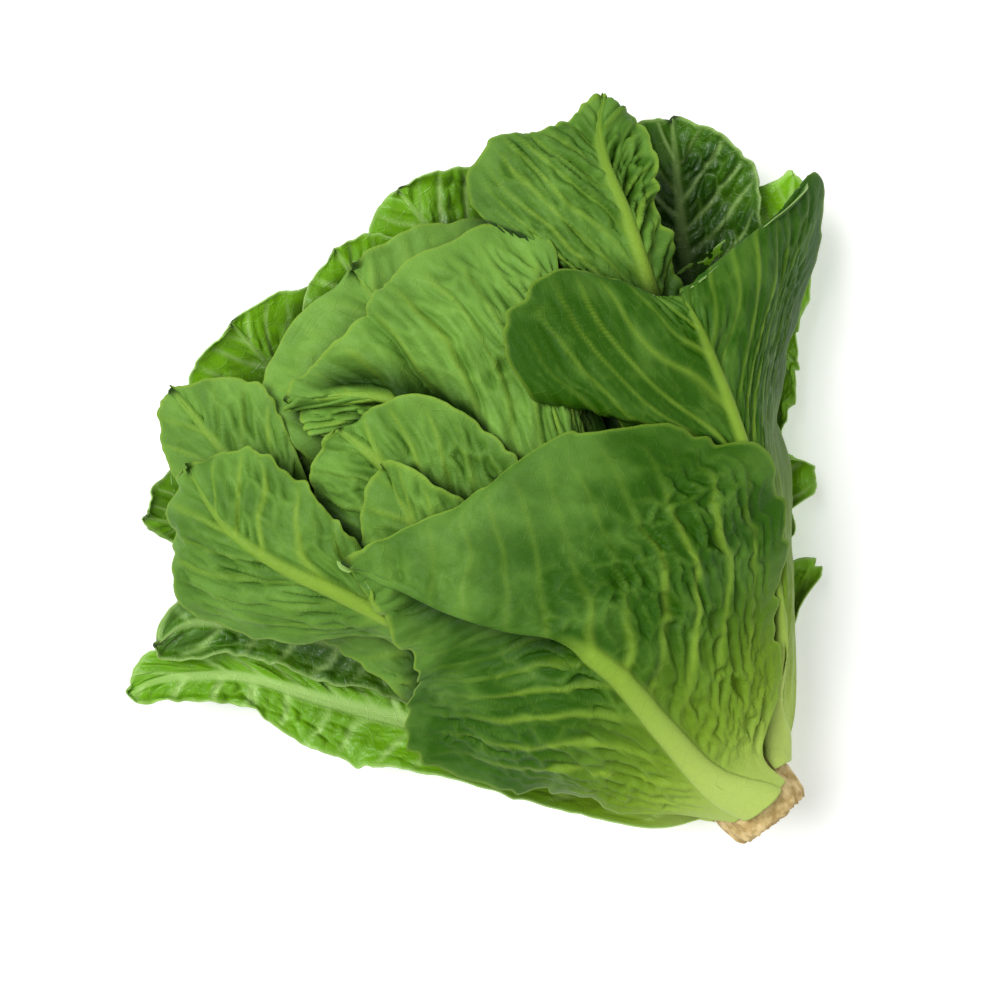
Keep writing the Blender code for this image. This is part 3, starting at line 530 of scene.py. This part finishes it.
def rib_share(leaf, rows, columns):
    """How much of the midrib's thickness each point has: 1 on the rib at the base, 0 on the blade."""
    s = np.linspace(0, 1, rows + 1)[:, None]
    v = np.linspace(-1, 1, columns + 1)[None, :]
    return (1 - s) ** 1.3 * np.clip(1 - 2.2 * np.abs(v) * (0.35 + s), 0, 1)


def back_of(surface, thickness, up):
    """The back of a leaf: its front moved out by the thickness."""
    along, across = np.gradient(surface, axis=0), np.gradient(surface, axis=1)
    normal = np.cross(across, along)
    normal /= np.linalg.norm(normal, axis=2)[:, :, None] + 1e-9
    return surface + normal * thickness[:, :, None] * (1 if up == "back" else -1)


def finer(grid, times):
    """The grid with straight steps put in between its points."""
    for axis in (0, 1):
        count = grid.shape[axis]
        at = np.linspace(0, count - 1, (count - 1) * times + 1)
        first = np.minimum(at.astype(int), count - 2)
        f = (at - first).reshape((-1, 1, 1) if axis == 0 else (1, -1, 1))
        grid = np.take(grid, first, axis) * (1 - f) + np.take(grid, first + 1, axis) * f
    return grid


def coarser(values, times):
    """The weighted mean of the values round each coarse point, leaving out those that are zero."""
    counts = (np.linalg.norm(values, axis=2) > 0).astype(float)
    sums = [values, counts[:, :, None]]
    for axis in (0, 1):
        for k, field in enumerate(sums):
            size = field.shape[axis]
            total = 0
            for step in range(-times + 1, times):
                where = np.arange(0, size, times) + step
                valid = (where >= 0) & (where < size)
                taken = np.take(field, np.clip(where, 0, size - 1), axis)
                weight = (1 - abs(step) / times) * valid
                total = total + taken * weight.reshape((-1, 1, 1) if axis == 0 else (1, -1, 1))
            sums[k] = total
    return sums[0] / np.maximum(sums[1], 1e-6)


def grid_faces(rows, columns, first=0):
    """The faces of a grid of points, which are numbered row by row from the first."""
    starts = [first + i * columns + j for i in range(rows - 1) for j in range(columns - 1)]
    return [(k, k + 1, k + columns + 1, k + columns) for k in starts]


def tree_of(grid, outward):
    """A search tree over the grid's faces, their normals towards +Z for outward = 1."""
    faces = grid_faces(*grid.shape[:2])
    if outward < 0:
        faces = [face[::-1] for face in faces]
    return BVHTree.FromPolygons(grid.reshape(-1, 3).tolist(), faces)


def shortfall(point, tree, side):
    """What the point lacks from LEAF_GAP on the wanted side (1 or -1) of the tree's surface."""
    place, normal, face, distance = tree.find_nearest(point, REACH)
    if place is None:
        return None
    depth = side * (Vector(point) - place).dot(normal)
    if distance > LEAF_GAP and abs(depth) < 0.9 * distance:
        return None
    if depth > LEAF_GAP:
        return None
    across = Vector((normal.x, 0, normal.z))
    return face, across * ((LEAF_GAP - depth) / max(across.length_squared, 0.2))


def settle(surface, outward, placed):
    """Pushes a leaf outwards until its front is clear of every placed surface."""
    times = 2
    for _ in range(SETTLE_STEPS):
        fine = finer(surface, times)
        columns = fine.shape[1]
        own = tree_of(fine, outward)
        push = np.zeros_like(fine).reshape(-1, 3)
        for tree, points in placed:
            for k, point in enumerate(fine.reshape(-1, 3)):
                lack = shortfall(point, tree, 1)
                if lack and np.linalg.norm(push[k]) < lack[1].length:
                    push[k] = lack[1]
            for point in points:
                lack = shortfall(point, own, -1)
                if lack:
                    row, column = divmod(lack[0], columns - 1)
                    for k in (row * columns + column, (row + 1) * columns + column + 1):
                        if np.linalg.norm(push[k]) < lack[1].length:
                            push[k] = lack[1]
        if not push.any():
            break
        move = coarser(push.reshape(fine.shape), times)
        padded = np.pad(move, ((1, 1), (1, 1), (0, 0)), mode="edge")
        rows, places = move.shape[:2]
        spread = sum(padded[i : i + rows, j : j + places] for i in range(3) for j in range(3)) / 9
        move = np.where(np.abs(move) > np.abs(spread), move, spread)
        length = np.linalg.norm(move, axis=2)[:, :, None]
        surface += move * np.minimum(1, SETTLE_MOVE / np.maximum(length, 1e-6))


def stem_grid():
    """The stem's skin as a grid, round it and along it."""
    turns = np.radians(np.linspace(0, 360, STEM_SIDES + 1))
    ys = np.array([y for y, _ in STEM_PROFILE])
    rs = np.array([r for _, r in STEM_PROFILE])
    grid = np.empty((len(ys), len(turns), 3))
    grid[..., 0] = STEM_X + rs[:, None] * np.sin(turns)
    grid[..., 1] = ys[:, None]
    grid[..., 2] = STEM_Z + rs[:, None] * np.cos(turns)
    return grid


skin = stem_grid()
inside_of_lower = [(tree_of(skin, 1), skin.reshape(-1, 3))]
inside_of_upper = list(inside_of_lower)
lifts = {}
verts, faces = skin.reshape(-1, 3).tolist(), grid_faces(*skin.shape[:2])
for name, leaf in LEAVES.items():
    outward = 1 if leaf["up"] == "back" else -1
    plain = leaf_surface(leaf, ROWS, COLUMNS)
    settled = plain.copy()
    own_side, other_side = inside_of_upper, inside_of_lower
    if outward < 0:
        own_side, other_side = other_side, own_side
    settle(settled, outward, own_side)
    share = rib_share(leaf, ROWS, COLUMNS)
    back = finer(back_of(settled, BLADE + (leaf["rib_mm"] - BLADE) * share, leaf["up"]), 2)
    front = finer(settled, 2)
    own_side.append((tree_of(back, outward), back.reshape(-1, 3)))
    other_side.append((tree_of(front, -outward), front.reshape(-1, 3)))
    lifts[name] = settled - plain
    faces += grid_faces(*front.shape[:2], len(verts))
    verts += front.reshape(-1, 3).tolist()

# The skin of the leaves. Each is a thin blade with a rounded midrib, side veins, puckers between
# them and a ruffled margin. It is a grid laid on the leaf's surface and thickened on its back.
# The canopy of all the laid leaves and the sky directions below measure how covered each point is: the
# leaf materials paint shade from it in the gaps between leaves.
canopy = BVHTree.FromPolygons(verts, faces)
SKY_REACH = 80  # how far off another leaf still closes the sky
SKY = []  # directions to the sky, in rings from high to low
for height, count in ((0.95, 5), (0.75, 8), (0.5, 10), (0.25, 10)):
    for k in range(count):
        turn = 2 * math.pi * (k + height) / count
        flat = math.sqrt(1 - height * height)
        SKY.append(Vector((flat * math.cos(turn), flat * math.sin(turn), height)))


def blister_cells(x, y, seed):
    """How far each point is from its cell's wall, 0 to about 1, and the cell's own random number."""
    rng = np.random.default_rng(seed)
    jitter = rng.uniform(0.12, 0.88, (61, 67, 2))
    numbers = rng.uniform(0, 1, (61, 67))
    i, j = np.floor(x).astype(int), np.floor(y).astype(int)
    first = np.full(x.shape, 9.0)
    second = np.full(x.shape, 9.0)
    number = np.zeros(x.shape)
    for di in (-1, 0, 1):
        for dj in (-1, 0, 1):
            a, b = (i + di) % 61, (j + dj) % 67
            away = np.hypot(i + di + jitter[a, b, 0] - x, j + dj + jitter[a, b, 1] - y)
            nearer = away < first
            second = np.where(nearer, first, np.minimum(second, away))
            number = np.where(nearer, numbers[a, b], number)
            first = np.where(nearer, away, first)
    return second - first, number


def unit_normals(points):
    """The upward normals of a grid of points."""
    along, across = np.gradient(points, axis=0), np.gradient(points, axis=1)
    normal = np.cross(across, along)
    return normal / (np.linalg.norm(normal, axis=2)[:, :, None] + 1e-9)


def upsampled(grid, rows, columns):
    """The coarse grid's values on a finer grid, by smooth curves both ways."""
    count = grid.shape[0] - 1
    at = np.linspace(0, count, rows + 1)
    long = curve_through(grid.reshape(count + 1, -1), at).reshape(rows + 1, grid.shape[1], -1)
    count = grid.shape[1] - 1
    at = np.linspace(0, count, columns + 1)
    wide = curve_through(long.transpose(1, 0, 2).reshape(count + 1, -1), at)
    return wide.reshape(columns + 1, rows + 1, -1).transpose(1, 0, 2)


def openness(surface, thickness, canopy):
    """How much of the sky is open above each point of a leaf: 0 in a deep gap, 1 on the top."""
    points = finer(surface, 3)
    normals = unit_normals(points)
    starts = points + normals * (thickness + 1.2)
    open_share = np.zeros(points.shape[:2])
    for index in np.ndindex(open_share.shape):
        start = Vector(starts[index])
        clear = sum(canopy.ray_cast(start, way, SKY_REACH)[0] is None for way in SKY)
        open_share[index] = clear / len(SKY)
    return open_share


def leaf_shape(leaf, look, lift, seed):
    """A leaf's whole relief: fine front surface, thickness weight and the masks its materials read."""
    rows, columns = look["rows"], look["columns"]
    surface = leaf_surface(leaf, rows, columns) + upsampled(lift, rows, columns)
    outward = 1 if leaf["up"] == "back" else -1
    s = np.linspace(0, 1, rows + 1)[:, None] + np.zeros((1, columns + 1))
    v = np.linspace(-1, 1, columns + 1)[None, :] + np.zeros((rows + 1, 1))
    rib = surface[:, columns // 2]
    steps = np.linalg.norm(np.diff(rib, axis=0), axis=1)
    length = np.concatenate([[0], np.cumsum(steps)])
    u = length[:, None] + np.zeros((1, columns + 1))
    w = np.linalg.norm(surface - rib[:, None], axis=2)
    half = np.where(v < 0, w[:, :1], w[:, -1:])
    side = np.where(v < 0, 3, 8)
    # Side veins leave the midrib at a slant and bend towards the tip.
    warp = 8 * smooth_noise(u / 37, w / 30 + side, seed)
    warp += 2.4 * smooth_noise(u / 12, w / 11 + side, seed + 1)
    q = u - 0.85 * w - 0.0025 * w * w + warp + side * 2
    spacing = look.get("vein_mm", 15)
    phase = q / spacing
    off = np.abs(phase - np.round(phase)) * spacing * 0.76
    vein_width = 0.9 + 1.2 * (1 - np.abs(v)) ** 2 * (1 - s)
    vein = np.exp(-((off / vein_width) ** 2)) * smoothstep(1.02, 0.7, np.abs(v))
    vein *= smoothstep(0.02, 0.10, s)
    vein *= 1 - look.get("smooth_tip", 0.0) * smoothstep(0.42, 0.62, s)
    vein *= smoothstep(1.02, 0.9, s)
    vein *= 0.55 + 0.45 * smooth_noise(q / 31, w / 31 + side, seed + 12)
    # The midrib is thick and rounded on the back.
    rib_half = look.get("rib_half", 4.2) * (1 - s) ** 0.75 + 0.55
    rib_half = rib_half * (1 + 0.7 * smoothstep(0.2, 0.0, s))
    rib_end = look.get("rib_end", 1.2)
    rib_left = smoothstep(rib_end, rib_end - 0.14, s)
    dome = np.sqrt(np.clip(1 - (w / rib_half) ** 2, 0, 1)) * rib_left
    beside = smoothstep(0.75, 1.9, w / rib_half)
    # Blisters between the veins, longer along the veins than across them.
    size = look.get("blister_mm", 9)
    bend = 0.35 * smooth_noise(u / 9, w / 9 + side, seed + 13)
    wall, number = blister_cells(phase * 2.0 + bend, w / size + side + bend, seed + 2)
    wall2, number2 = blister_cells(phase * 4.6 + 7 + bend, w / size * 2.2 + side - bend, seed + 3)
    patch = 0.5 + 0.9 * smooth_noise(u / 33 + 5, w / 33 + side, seed + 4)
    calm = smoothstep(1.0, 0.62, np.abs(v) ** 2) * smoothstep(0.0, 0.22, s)
    calm *= smoothstep(1.0, 0.82, s)
    calm *= 1 - look.get("smooth_tip", 0.0) * smoothstep(0.5, 0.72, s)
    rough = np.clip(patch, 0.32, 1.25) * calm * look.get("blister", 1.0) * beside
    bulge = smoothstep(0, 0.6, wall) * (0.3 + number)
    bulge += 0.35 * smoothstep(0, 0.6, wall2) * (0.3 + number2)
    wander = smooth_noise(u / 15, w / 21 + side, seed + 5)
    folds = smooth_noise(phase * 2.3 + 0.8 * wander, w / 40 + side, seed + 14)
    folds += 0.5 * smooth_noise(phase * 5.1, w / 30 + side, seed + 15)
    near_rib = np.exp(-((w / look.get("fold_mm", 24)) ** 2)) * smoothstep(0.05, 0.3, s) * beside
    relief = 0.6 * vein * (1 - 0.6 * s) * beside - 1.6 * rough * bulge
    relief += 1.3 * near_rib * folds * look.get("folds", 1.0)
    # The whole blade undulates, and its margin is ruffled.
    sway = smooth_noise(u / 38, w / 38 + side, seed + 6)
    sway += 0.45 * smooth_noise(u / 19, w / 19 + side, seed + 16)
    relief += look.get("sway", 2.0) * sway * smoothstep(0, 0.35, s) * smoothstep(0, 0.5, np.abs(v))
    margin = smoothstep(0.5, 1.0, np.abs(v)) * smoothstep(0.12, 0.4, s)
    run = u + side * 3
    ruffle = smooth_noise(run / 17, run * 0 + side, seed + 7)
    ruffle += 0.35 * smooth_noise(run / 7, run * 0 + side, seed + 8)
    relief += look.get("ruffle", 2.2) * margin**1.6 * ruffle
    relief += 0.35 * leaf["rib_mm"] * dome * (1 - s) ** 0.8
    # Creases sink the blade, and crease_shade marks their valleys for painted shade.
    crease_shade = np.zeros_like(s)
    for first, last, depth, fold_side in look.get("creases", ()):
        along_fold = smoothstep(first, first + 0.08, s) * smoothstep(last, last - 0.08, s)
        along_fold *= v * fold_side > 0
        crease_shade = np.maximum(crease_shade, along_fold * smoothstep(0.4, 4.0, w) * np.exp(-((w / 15) ** 2)))
        relief -= depth * along_fold * smoothstep(0.0, 4.5, w) * np.exp(-((w / 17) ** 2))
    for place, reach, height, rise_side in look.get("raised", ()):
        there = np.exp(-(((s - place) / reach) ** 2)) * smoothstep(0.15, 1.0, v * rise_side)
        relief += height * there
    normal = unit_normals(surface) * outward
    surface = surface + normal * relief[:, :, None]
    # The cut of the margin is a little uneven.
    outwards = surface[:, -1] - surface[:, columns // 2], surface[:, 0] - surface[:, columns // 2]
    for k, direction in enumerate(outwards):
        reach = np.linalg.norm(direction, axis=1)[:, None] + 1e-9
        uneven = 0.9 * smooth_noise(length / 3.2, length * 0 + k, seed + 9)
        uneven += 0.9 * smooth_noise(length / 8, length * 0 + k, seed + 10)
        uneven *= smoothstep(0.1, 0.3, s[:, 0]) * smoothstep(1.0, 0.95, s[:, 0])
        uneven *= look.get("uneven", 1.0)
        part = smoothstep(0.6, 1.0, np.abs(v)) * ((v > 0) if k == 0 else (v < 0))
        surface = surface + part[:, :, None] * (direction / reach * uneven[:, None])[:, None, :]
    small_veins = 0.14 * smoothstep(0.16, 0.0, wall) * calm * beside
    # tone and tip_tone give the leaf's green, with the painted shade and light marked in the leaf tables.
    tip_change = look.get("tip_tone", look["tone"]) - look["tone"]
    masks = {
        "rib": np.clip(np.exp(-((w / (rib_half * 1.05)) ** 4)), 0, 1) * rib_left,
        "vein": np.clip(vein * look.get("veins", 1.0) + small_veins, 0, 1),
        "tone": look["tone"] + tip_change * smoothstep(0.55, 0.85, s),
        # Painted shade in the hollows of the blister cups.
        "cup_shade": np.clip(rough * bulge * 0.8, 0, 1),
        "base": s,
        "crease_shade": crease_shade,
        "edge": smoothstep(1.7, 0.2, half - w) * smoothstep(0.0, 0.15, s),
    }
    thick = np.clip(dome * (1 - s) ** 1.1, 0, 1)
    return surface, thick, masks, u, w * np.sign(v)


def maths(nodes, links, operation, first, second=0.0, third=None):
    node = nodes.new("ShaderNodeMath")
    node.operation = operation
    for socket, value in zip(node.inputs, (first, second, third)):
        if isinstance(value, bpy.types.NodeSocket):
            links.new(value, socket)
        elif value is not None:
            socket.default_value = value
    return node.outputs[0]


def attribute(nodes, name):
    node = nodes.new("ShaderNodeAttribute")
    node.attribute_name = name
    return node.outputs["Fac"]


# The finest veins: a net of cells about 2 mm across inside cells about 5 mm across.
net = bpy.data.node_groups.new("leaf_net", "ShaderNodeTree")
net.interface.new_socket("Vector", in_out="INPUT", socket_type="NodeSocketVector")
for name in ("Lines", "Height", "Mottle"):
    net.interface.new_socket(name, in_out="OUTPUT", socket_type="NodeSocketFloat")
group_in, group_out = net.nodes.new("NodeGroupInput"), net.nodes.new("NodeGroupOutput")
noise = noise_texture(net.nodes, net.links, group_in.outputs[0], 160, 2)
shift = net.nodes.new("ShaderNodeVectorMath")
shift.operation = "MULTIPLY_ADD"
shift.inputs[1].default_value = (0.0016, 0.0016, 0)
net.links.new(noise["Color"], shift.inputs[0])
net.links.new(group_in.outputs[0], shift.inputs[2])
lines = []
for scale, width in ((520, 0.10), (190, 0.05)):
    voronoi = net.nodes.new("ShaderNodeTexVoronoi")
    voronoi.voronoi_dimensions = "2D"
    voronoi.feature = "DISTANCE_TO_EDGE"
    voronoi.inputs["Scale"].default_value = scale
    net.links.new(shift.outputs[0], voronoi.inputs["Vector"])
    lines.append(stretched(net.nodes, net.links, voronoi.outputs["Distance"], 0, width, 1, 0))
fine = maths(net.nodes, net.links, "MULTIPLY", lines[0], 0.45)
net.links.new(maths(net.nodes, net.links, "MAXIMUM", fine, lines[1]), group_out.inputs["Lines"])
grain = noise_texture(net.nodes, net.links, group_in.outputs[0], 900, 3)
grained = maths(net.nodes, net.links, "MULTIPLY_ADD", grain["Fac"], 0.35, fine)
net.links.new(maths(net.nodes, net.links, "ADD", grained, lines[1]), group_out.inputs["Height"])
mottle = noise_texture(net.nodes, net.links, group_in.outputs[0], 55, 4)
net.links.new(mottle["Fac"], group_out.inputs["Mottle"])


def leaf_material(name, dark, light, vein, yellow, pale, roughness, gloss, bump, glow, net_share):
    """One face of a leaf. tone runs from dark leaves to light ones, base from the stem to the tip."""
    made, nodes, links = new_material(name)
    uv = nodes.new("ShaderNodeUVMap")
    uv.uv_map = "leaf"
    group = nodes.new("ShaderNodeGroup")
    group.node_tree = net
    links.new(uv.outputs[0], group.inputs[0])
    tone = attribute(nodes, "tone")
    mottled = stretched(nodes, links, group.outputs["Mottle"], 0.3, 0.75, -0.10, 0.13)
    shade = maths(nodes, links, "ADD", tone, mottled)
    # Painted shade: darker in the hollows of the blister cups.
    shade = maths(nodes, links, "MULTIPLY_ADD", attribute(nodes, "cup_shade"), -0.12, shade)
    colour = mixed(nodes, links, shade, dark, light)
    net_lines = maths(nodes, links, "MULTIPLY", group.outputs["Lines"], net_share)
    colour = mixed(nodes, links, net_lines, colour, vein)
    veins = maths(nodes, links, "MULTIPLY", attribute(nodes, "vein"), 0.75)
    colour = mixed(nodes, links, veins, colour, vein)
    along = attribute(nodes, "base")
    bleach = attribute(nodes, "bleach")
    past_base = maths(nodes, links, "DIVIDE", along, bleach)
    yellowing = stretched(nodes, links, past_base, 0.35, 1.0, 0.75, 0.0)
    colour = mixed(nodes, links, yellowing, colour, yellow)
    rib_fade = stretched(nodes, links, along, 0.5, 1.0, 0.9, 0.45)
    rib = maths(nodes, links, "MULTIPLY", attribute(nodes, "rib"), rib_fade)
    rib_colour = mixed(nodes, links, stretched(nodes, links, along, 0.02, 0.42), pale, vein)
    colour = mixed(nodes, links, rib, colour, rib_colour)
    whitening = stretched(nodes, links, past_base, 0.0, 0.55, 0.85, 0.0)
    colour = mixed(nodes, links, whitening, colour, pale)
    rim = maths(nodes, links, "MULTIPLY", attribute(nodes, "edge"), 0.6)
    colour = mixed(nodes, links, rim, colour, vein)
    # Painted shade: the colour goes to a near-black green where other leaves cover the sky above the
    # point.
    painted_shade = stretched(nodes, links, attribute(nodes, "open"), 0.20, 0.86, 0.94, 0.0)
    colour = mixed(nodes, links, painted_shade, colour, (0.006, 0.030, 0.001))
    shader = nodes.new("ShaderNodeBsdfPrincipled")
    links.new(colour, shader.inputs["Base Color"])
    shader.inputs["Roughness"].default_value = roughness
    shader.inputs["Specular IOR Level"].default_value = gloss
    fine_bumps = bumped(nodes, links, group.outputs["Height"], bump, 0.0006)
    links.new(fine_bumps, shader.inputs["Normal"])
    through = nodes.new("ShaderNodeBsdfTranslucent")
    links.new(colour, through.inputs["Color"])
    mix = nodes.new("ShaderNodeMixShader")
    mix.inputs[0].default_value = glow
    links.new(shader.outputs[0], mix.inputs[1])
    links.new(through.outputs[0], mix.inputs[2])
    out = nodes.new("ShaderNodeOutputMaterial")
    links.new(mix.outputs[0], out.inputs[0])
    return made


leaf_back = leaf_material(
    "leaf_back",
    dark=(0.022, 0.088, 0.001),
    light=(0.31, 0.60, 0.10),
    vein=(0.23, 0.38, 0.035),
    yellow=(0.21, 0.35, 0.02),
    pale=(0.46, 0.60, 0.13),
    roughness=0.5,
    gloss=0.12,
    bump=0.3,
    glow=0.06,
    net_share=0.05,
)
leaf_front = leaf_material(
    "leaf_front",
    dark=(0.018, 0.085, 0.001),
    light=(0.20, 0.50, 0.006),
    vein=(0.42, 0.66, 0.18),
    yellow=(0.30, 0.50, 0.03),
    pale=(0.50, 0.66, 0.15),
    roughness=0.34,
    gloss=0.35,
    bump=0.35,
    glow=0.08,
    net_share=0.12,
)

HIGH_ROOM, LOW_ROOM = 0.0052, 0.004  # where the relief begins to flatten, in metres from the box
HIGH_REST, LOW_REST = 0.004, 0.003  # the most that it goes past there, in metres
RIB_SHARE = 0.8  # of the midrib's thickness is even, and the rest is in the relief
THIN_BLADE = 0.55  # thickness of the blade that is seen, in millimetres

for order, (name, leaf) in enumerate(LEAVES.items()):
    outward = 1 if leaf["up"] == "back" else -1
    look = leaf.get("look", HIDDEN_LOOK)
    laid = leaf_surface(leaf, ROWS, COLUMNS) + lifts[name]
    # How open the sky is above each point, for the painted shade in the gaps between leaves.
    sky_share = openness(laid, 1.0 + 0.5 * leaf["rib_mm"], canopy)
    surface, thick, masks, u, w = leaf_shape(leaf, look, lifts[name], 100 + order * 11)
    sky_share = upsampled(sky_share[:, :, None], look["rows"], look["columns"])[:, :, 0]
    # The open mask sets the painted shade in the materials: low where other leaves cover the sky, lifted
    # to least_open at the least, and lowered again in crease valleys.
    masks["open"] = np.clip(sky_share, look.get("least_open", 0.0), 1) * (1 - 0.8 * masks.pop("crease_shade"))
    bpy.ops.object.select_all(action="DESELECT")
    bpy.ops.mesh.primitive_grid_add(x_subdivisions=look["columns"], y_subdivisions=look["rows"], size=1)
    piece = bpy.context.object
    piece.name = piece.data.name = name.replace("_leaf", "_leaf_piece")
    mesh = piece.data
    places = (surface + shift_mm) * MM
    # The relief flattens out softly near the sides and the top of the head, but not on the floor.
    low, high = np.array([list(c) for c in bounds_of_cad])
    room = np.maximum(high - HIGH_ROOM - places, -0.02)
    places = np.where(room < 0, high - HIGH_ROOM + HIGH_REST * np.tanh(-room / HIGH_REST), places)
    room = np.maximum(places - low - LOW_ROOM, -0.02) + np.array([0, 0, 1])
    places = np.where(room < 0, low + LOW_ROOM - LOW_REST * np.tanh(-room / LOW_REST), places)
    mesh.vertices.foreach_set("co", places.astype(np.float32).ravel())
    corners = np.empty(len(mesh.loops), np.int32)
    mesh.loops.foreach_get("vertex_index", corners)
    leaf_map = mesh.uv_layers[0]
    leaf_map.name = "leaf"
    on_leaf = np.stack([w, u], -1).reshape(-1, 2)[corners] * MM
    leaf_map.uv.foreach_set("vector", on_leaf.astype(np.float32).ravel())
    # Both faces start in one half of the bake map. The front moves to the other half below.
    bake_map = mesh.uv_layers.new(name="OFBake")
    bake_columns = np.linspace(0.01, 0.49, look["columns"] + 1)
    bake_rows = np.linspace(0.01, 0.99, look["rows"] + 1)
    places = np.stack(np.meshgrid(bake_columns, bake_rows), -1)
    bake_map.uv.foreach_set("vector", places.reshape(-1, 2)[corners].astype(np.float32).ravel())
    for key, values in masks.items():
        mask = mesh.attributes.new(key, "FLOAT", "POINT")
        mask.data.foreach_set("value", values.astype(np.float32).ravel())
    bleach = np.full(len(mesh.vertices), look.get("bleach", 0.4), np.float32)
    mesh.attributes.new("bleach", "FLOAT", "POINT").data.foreach_set("value", bleach)
    group = piece.vertex_groups.new(name="midrib")
    weights = np.round(thick.ravel(), 2)
    for value in np.unique(weights):
        group.add(np.flatnonzero(weights == value).tolist(), float(value), "REPLACE")
    mesh.materials.append(leaf_back)
    mesh.materials.append(leaf_front)
    weld = piece.modifiers.new("close_tip", "WELD")
    weld.merge_threshold = 0.00002
    solidify = piece.modifiers.new("thickness", "SOLIDIFY")
    solidify.thickness = leaf["rib_mm"] * MM * RIB_SHARE
    solidify.offset = 1
    solidify.vertex_group = "midrib"
    solidify.thickness_vertex_group = THIN_BLADE / (leaf["rib_mm"] * RIB_SHARE)
    solidify.material_offset = 1
    solidify.material_offset_rim = 1
    if outward < 0:
        mesh.flip_normals()
    for modifier in list(piece.modifiers):
        bpy.ops.object.modifier_apply(modifier=modifier.name)
    mesh.polygons.foreach_set("use_smooth", np.ones(len(mesh.polygons), bool))
    kinds = np.empty(len(mesh.polygons), np.int32)
    mesh.polygons.foreach_get("material_index", kinds)
    totals = np.empty(len(mesh.polygons), np.int32)
    mesh.polygons.foreach_get("loop_total", totals)
    places = np.empty(len(mesh.loops) * 2, np.float32)
    mesh.uv_layers["OFBake"].uv.foreach_get("vector", places)
    places = places.reshape(-1, 2)
    places[:, 0] += 0.5 * np.repeat(kinds, totals)
    mesh.uv_layers["OFBake"].uv.foreach_set("vector", places.ravel())
    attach(piece, "root")
    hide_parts(name)

# The stage. A plain white floor, soft daylight from the side of the leaf tips with a weaker fill
# from the stem, and a camera looking straight down. None of it is part of the head.
bpy.ops.object.select_all(action="DESELECT")
bpy.ops.mesh.primitive_plane_add(size=6, location=(0, 0, -0.0005))
floor = bpy.context.object
floor.name = "floor"
floor_material, nodes, links = new_material("floor_white")
shader = nodes.new("ShaderNodeBsdfPrincipled")
shader.inputs["Base Color"].default_value = (0.92, 0.92, 0.92, 1)
shader.inputs["Roughness"].default_value = 0.9
shader.inputs["Specular IOR Level"].default_value = 0.1
shader.inputs["Emission Color"].default_value = (1, 1, 1, 1)
shader.inputs["Emission Strength"].default_value = 0.24
out = nodes.new("ShaderNodeOutputMaterial")
links.new(shader.outputs[0], out.inputs[0])
floor.data.materials.append(floor_material)
world = bpy.data.worlds.new("studio")
bpy.context.scene.world = world
world.use_nodes = True
world.node_tree.nodes["Background"].inputs[0].default_value = (1, 1, 1, 1)
world.node_tree.nodes["Background"].inputs[1].default_value = 0.36


def sunlight(name, degrees, strength, place, source):
    """A soft light, as many degrees across, that shines from the direction of its source."""
    made = bpy.data.objects.new(name, bpy.data.lights.new(name, "SUN"))
    made.data.angle = math.radians(degrees)
    made.data.energy = strength
    bpy.context.collection.objects.link(made)
    made.location = place
    made.rotation_euler = Vector(source).to_track_quat("Z", "Y").to_euler()
    return made


lamp = sunlight("soft_daylight", 40, 3.1, (-0.3, 0.6, 1.3), (-0.30, 0.50, 1))
fill = sunlight("soft_fill", 70, 0.75, (0.3, -1.0, 1.0), (0.35, -1.0, 0.9))

camera_data = bpy.data.cameras.new("camera")
camera = bpy.data.objects.new("camera", camera_data)
bpy.context.collection.objects.link(camera)
camera_data.sensor_width = 36
camera_data.lens = 130
camera.location = ((shift_mm[0] - 1.2) * MM, (shift_mm[1] - 12.9) * MM, 1.35)
camera.rotation_euler = Euler((0, 0, math.radians(-38.8)))
bpy.context.scene.camera = camera
bpy.context.scene.view_settings.view_transform = "Standard"
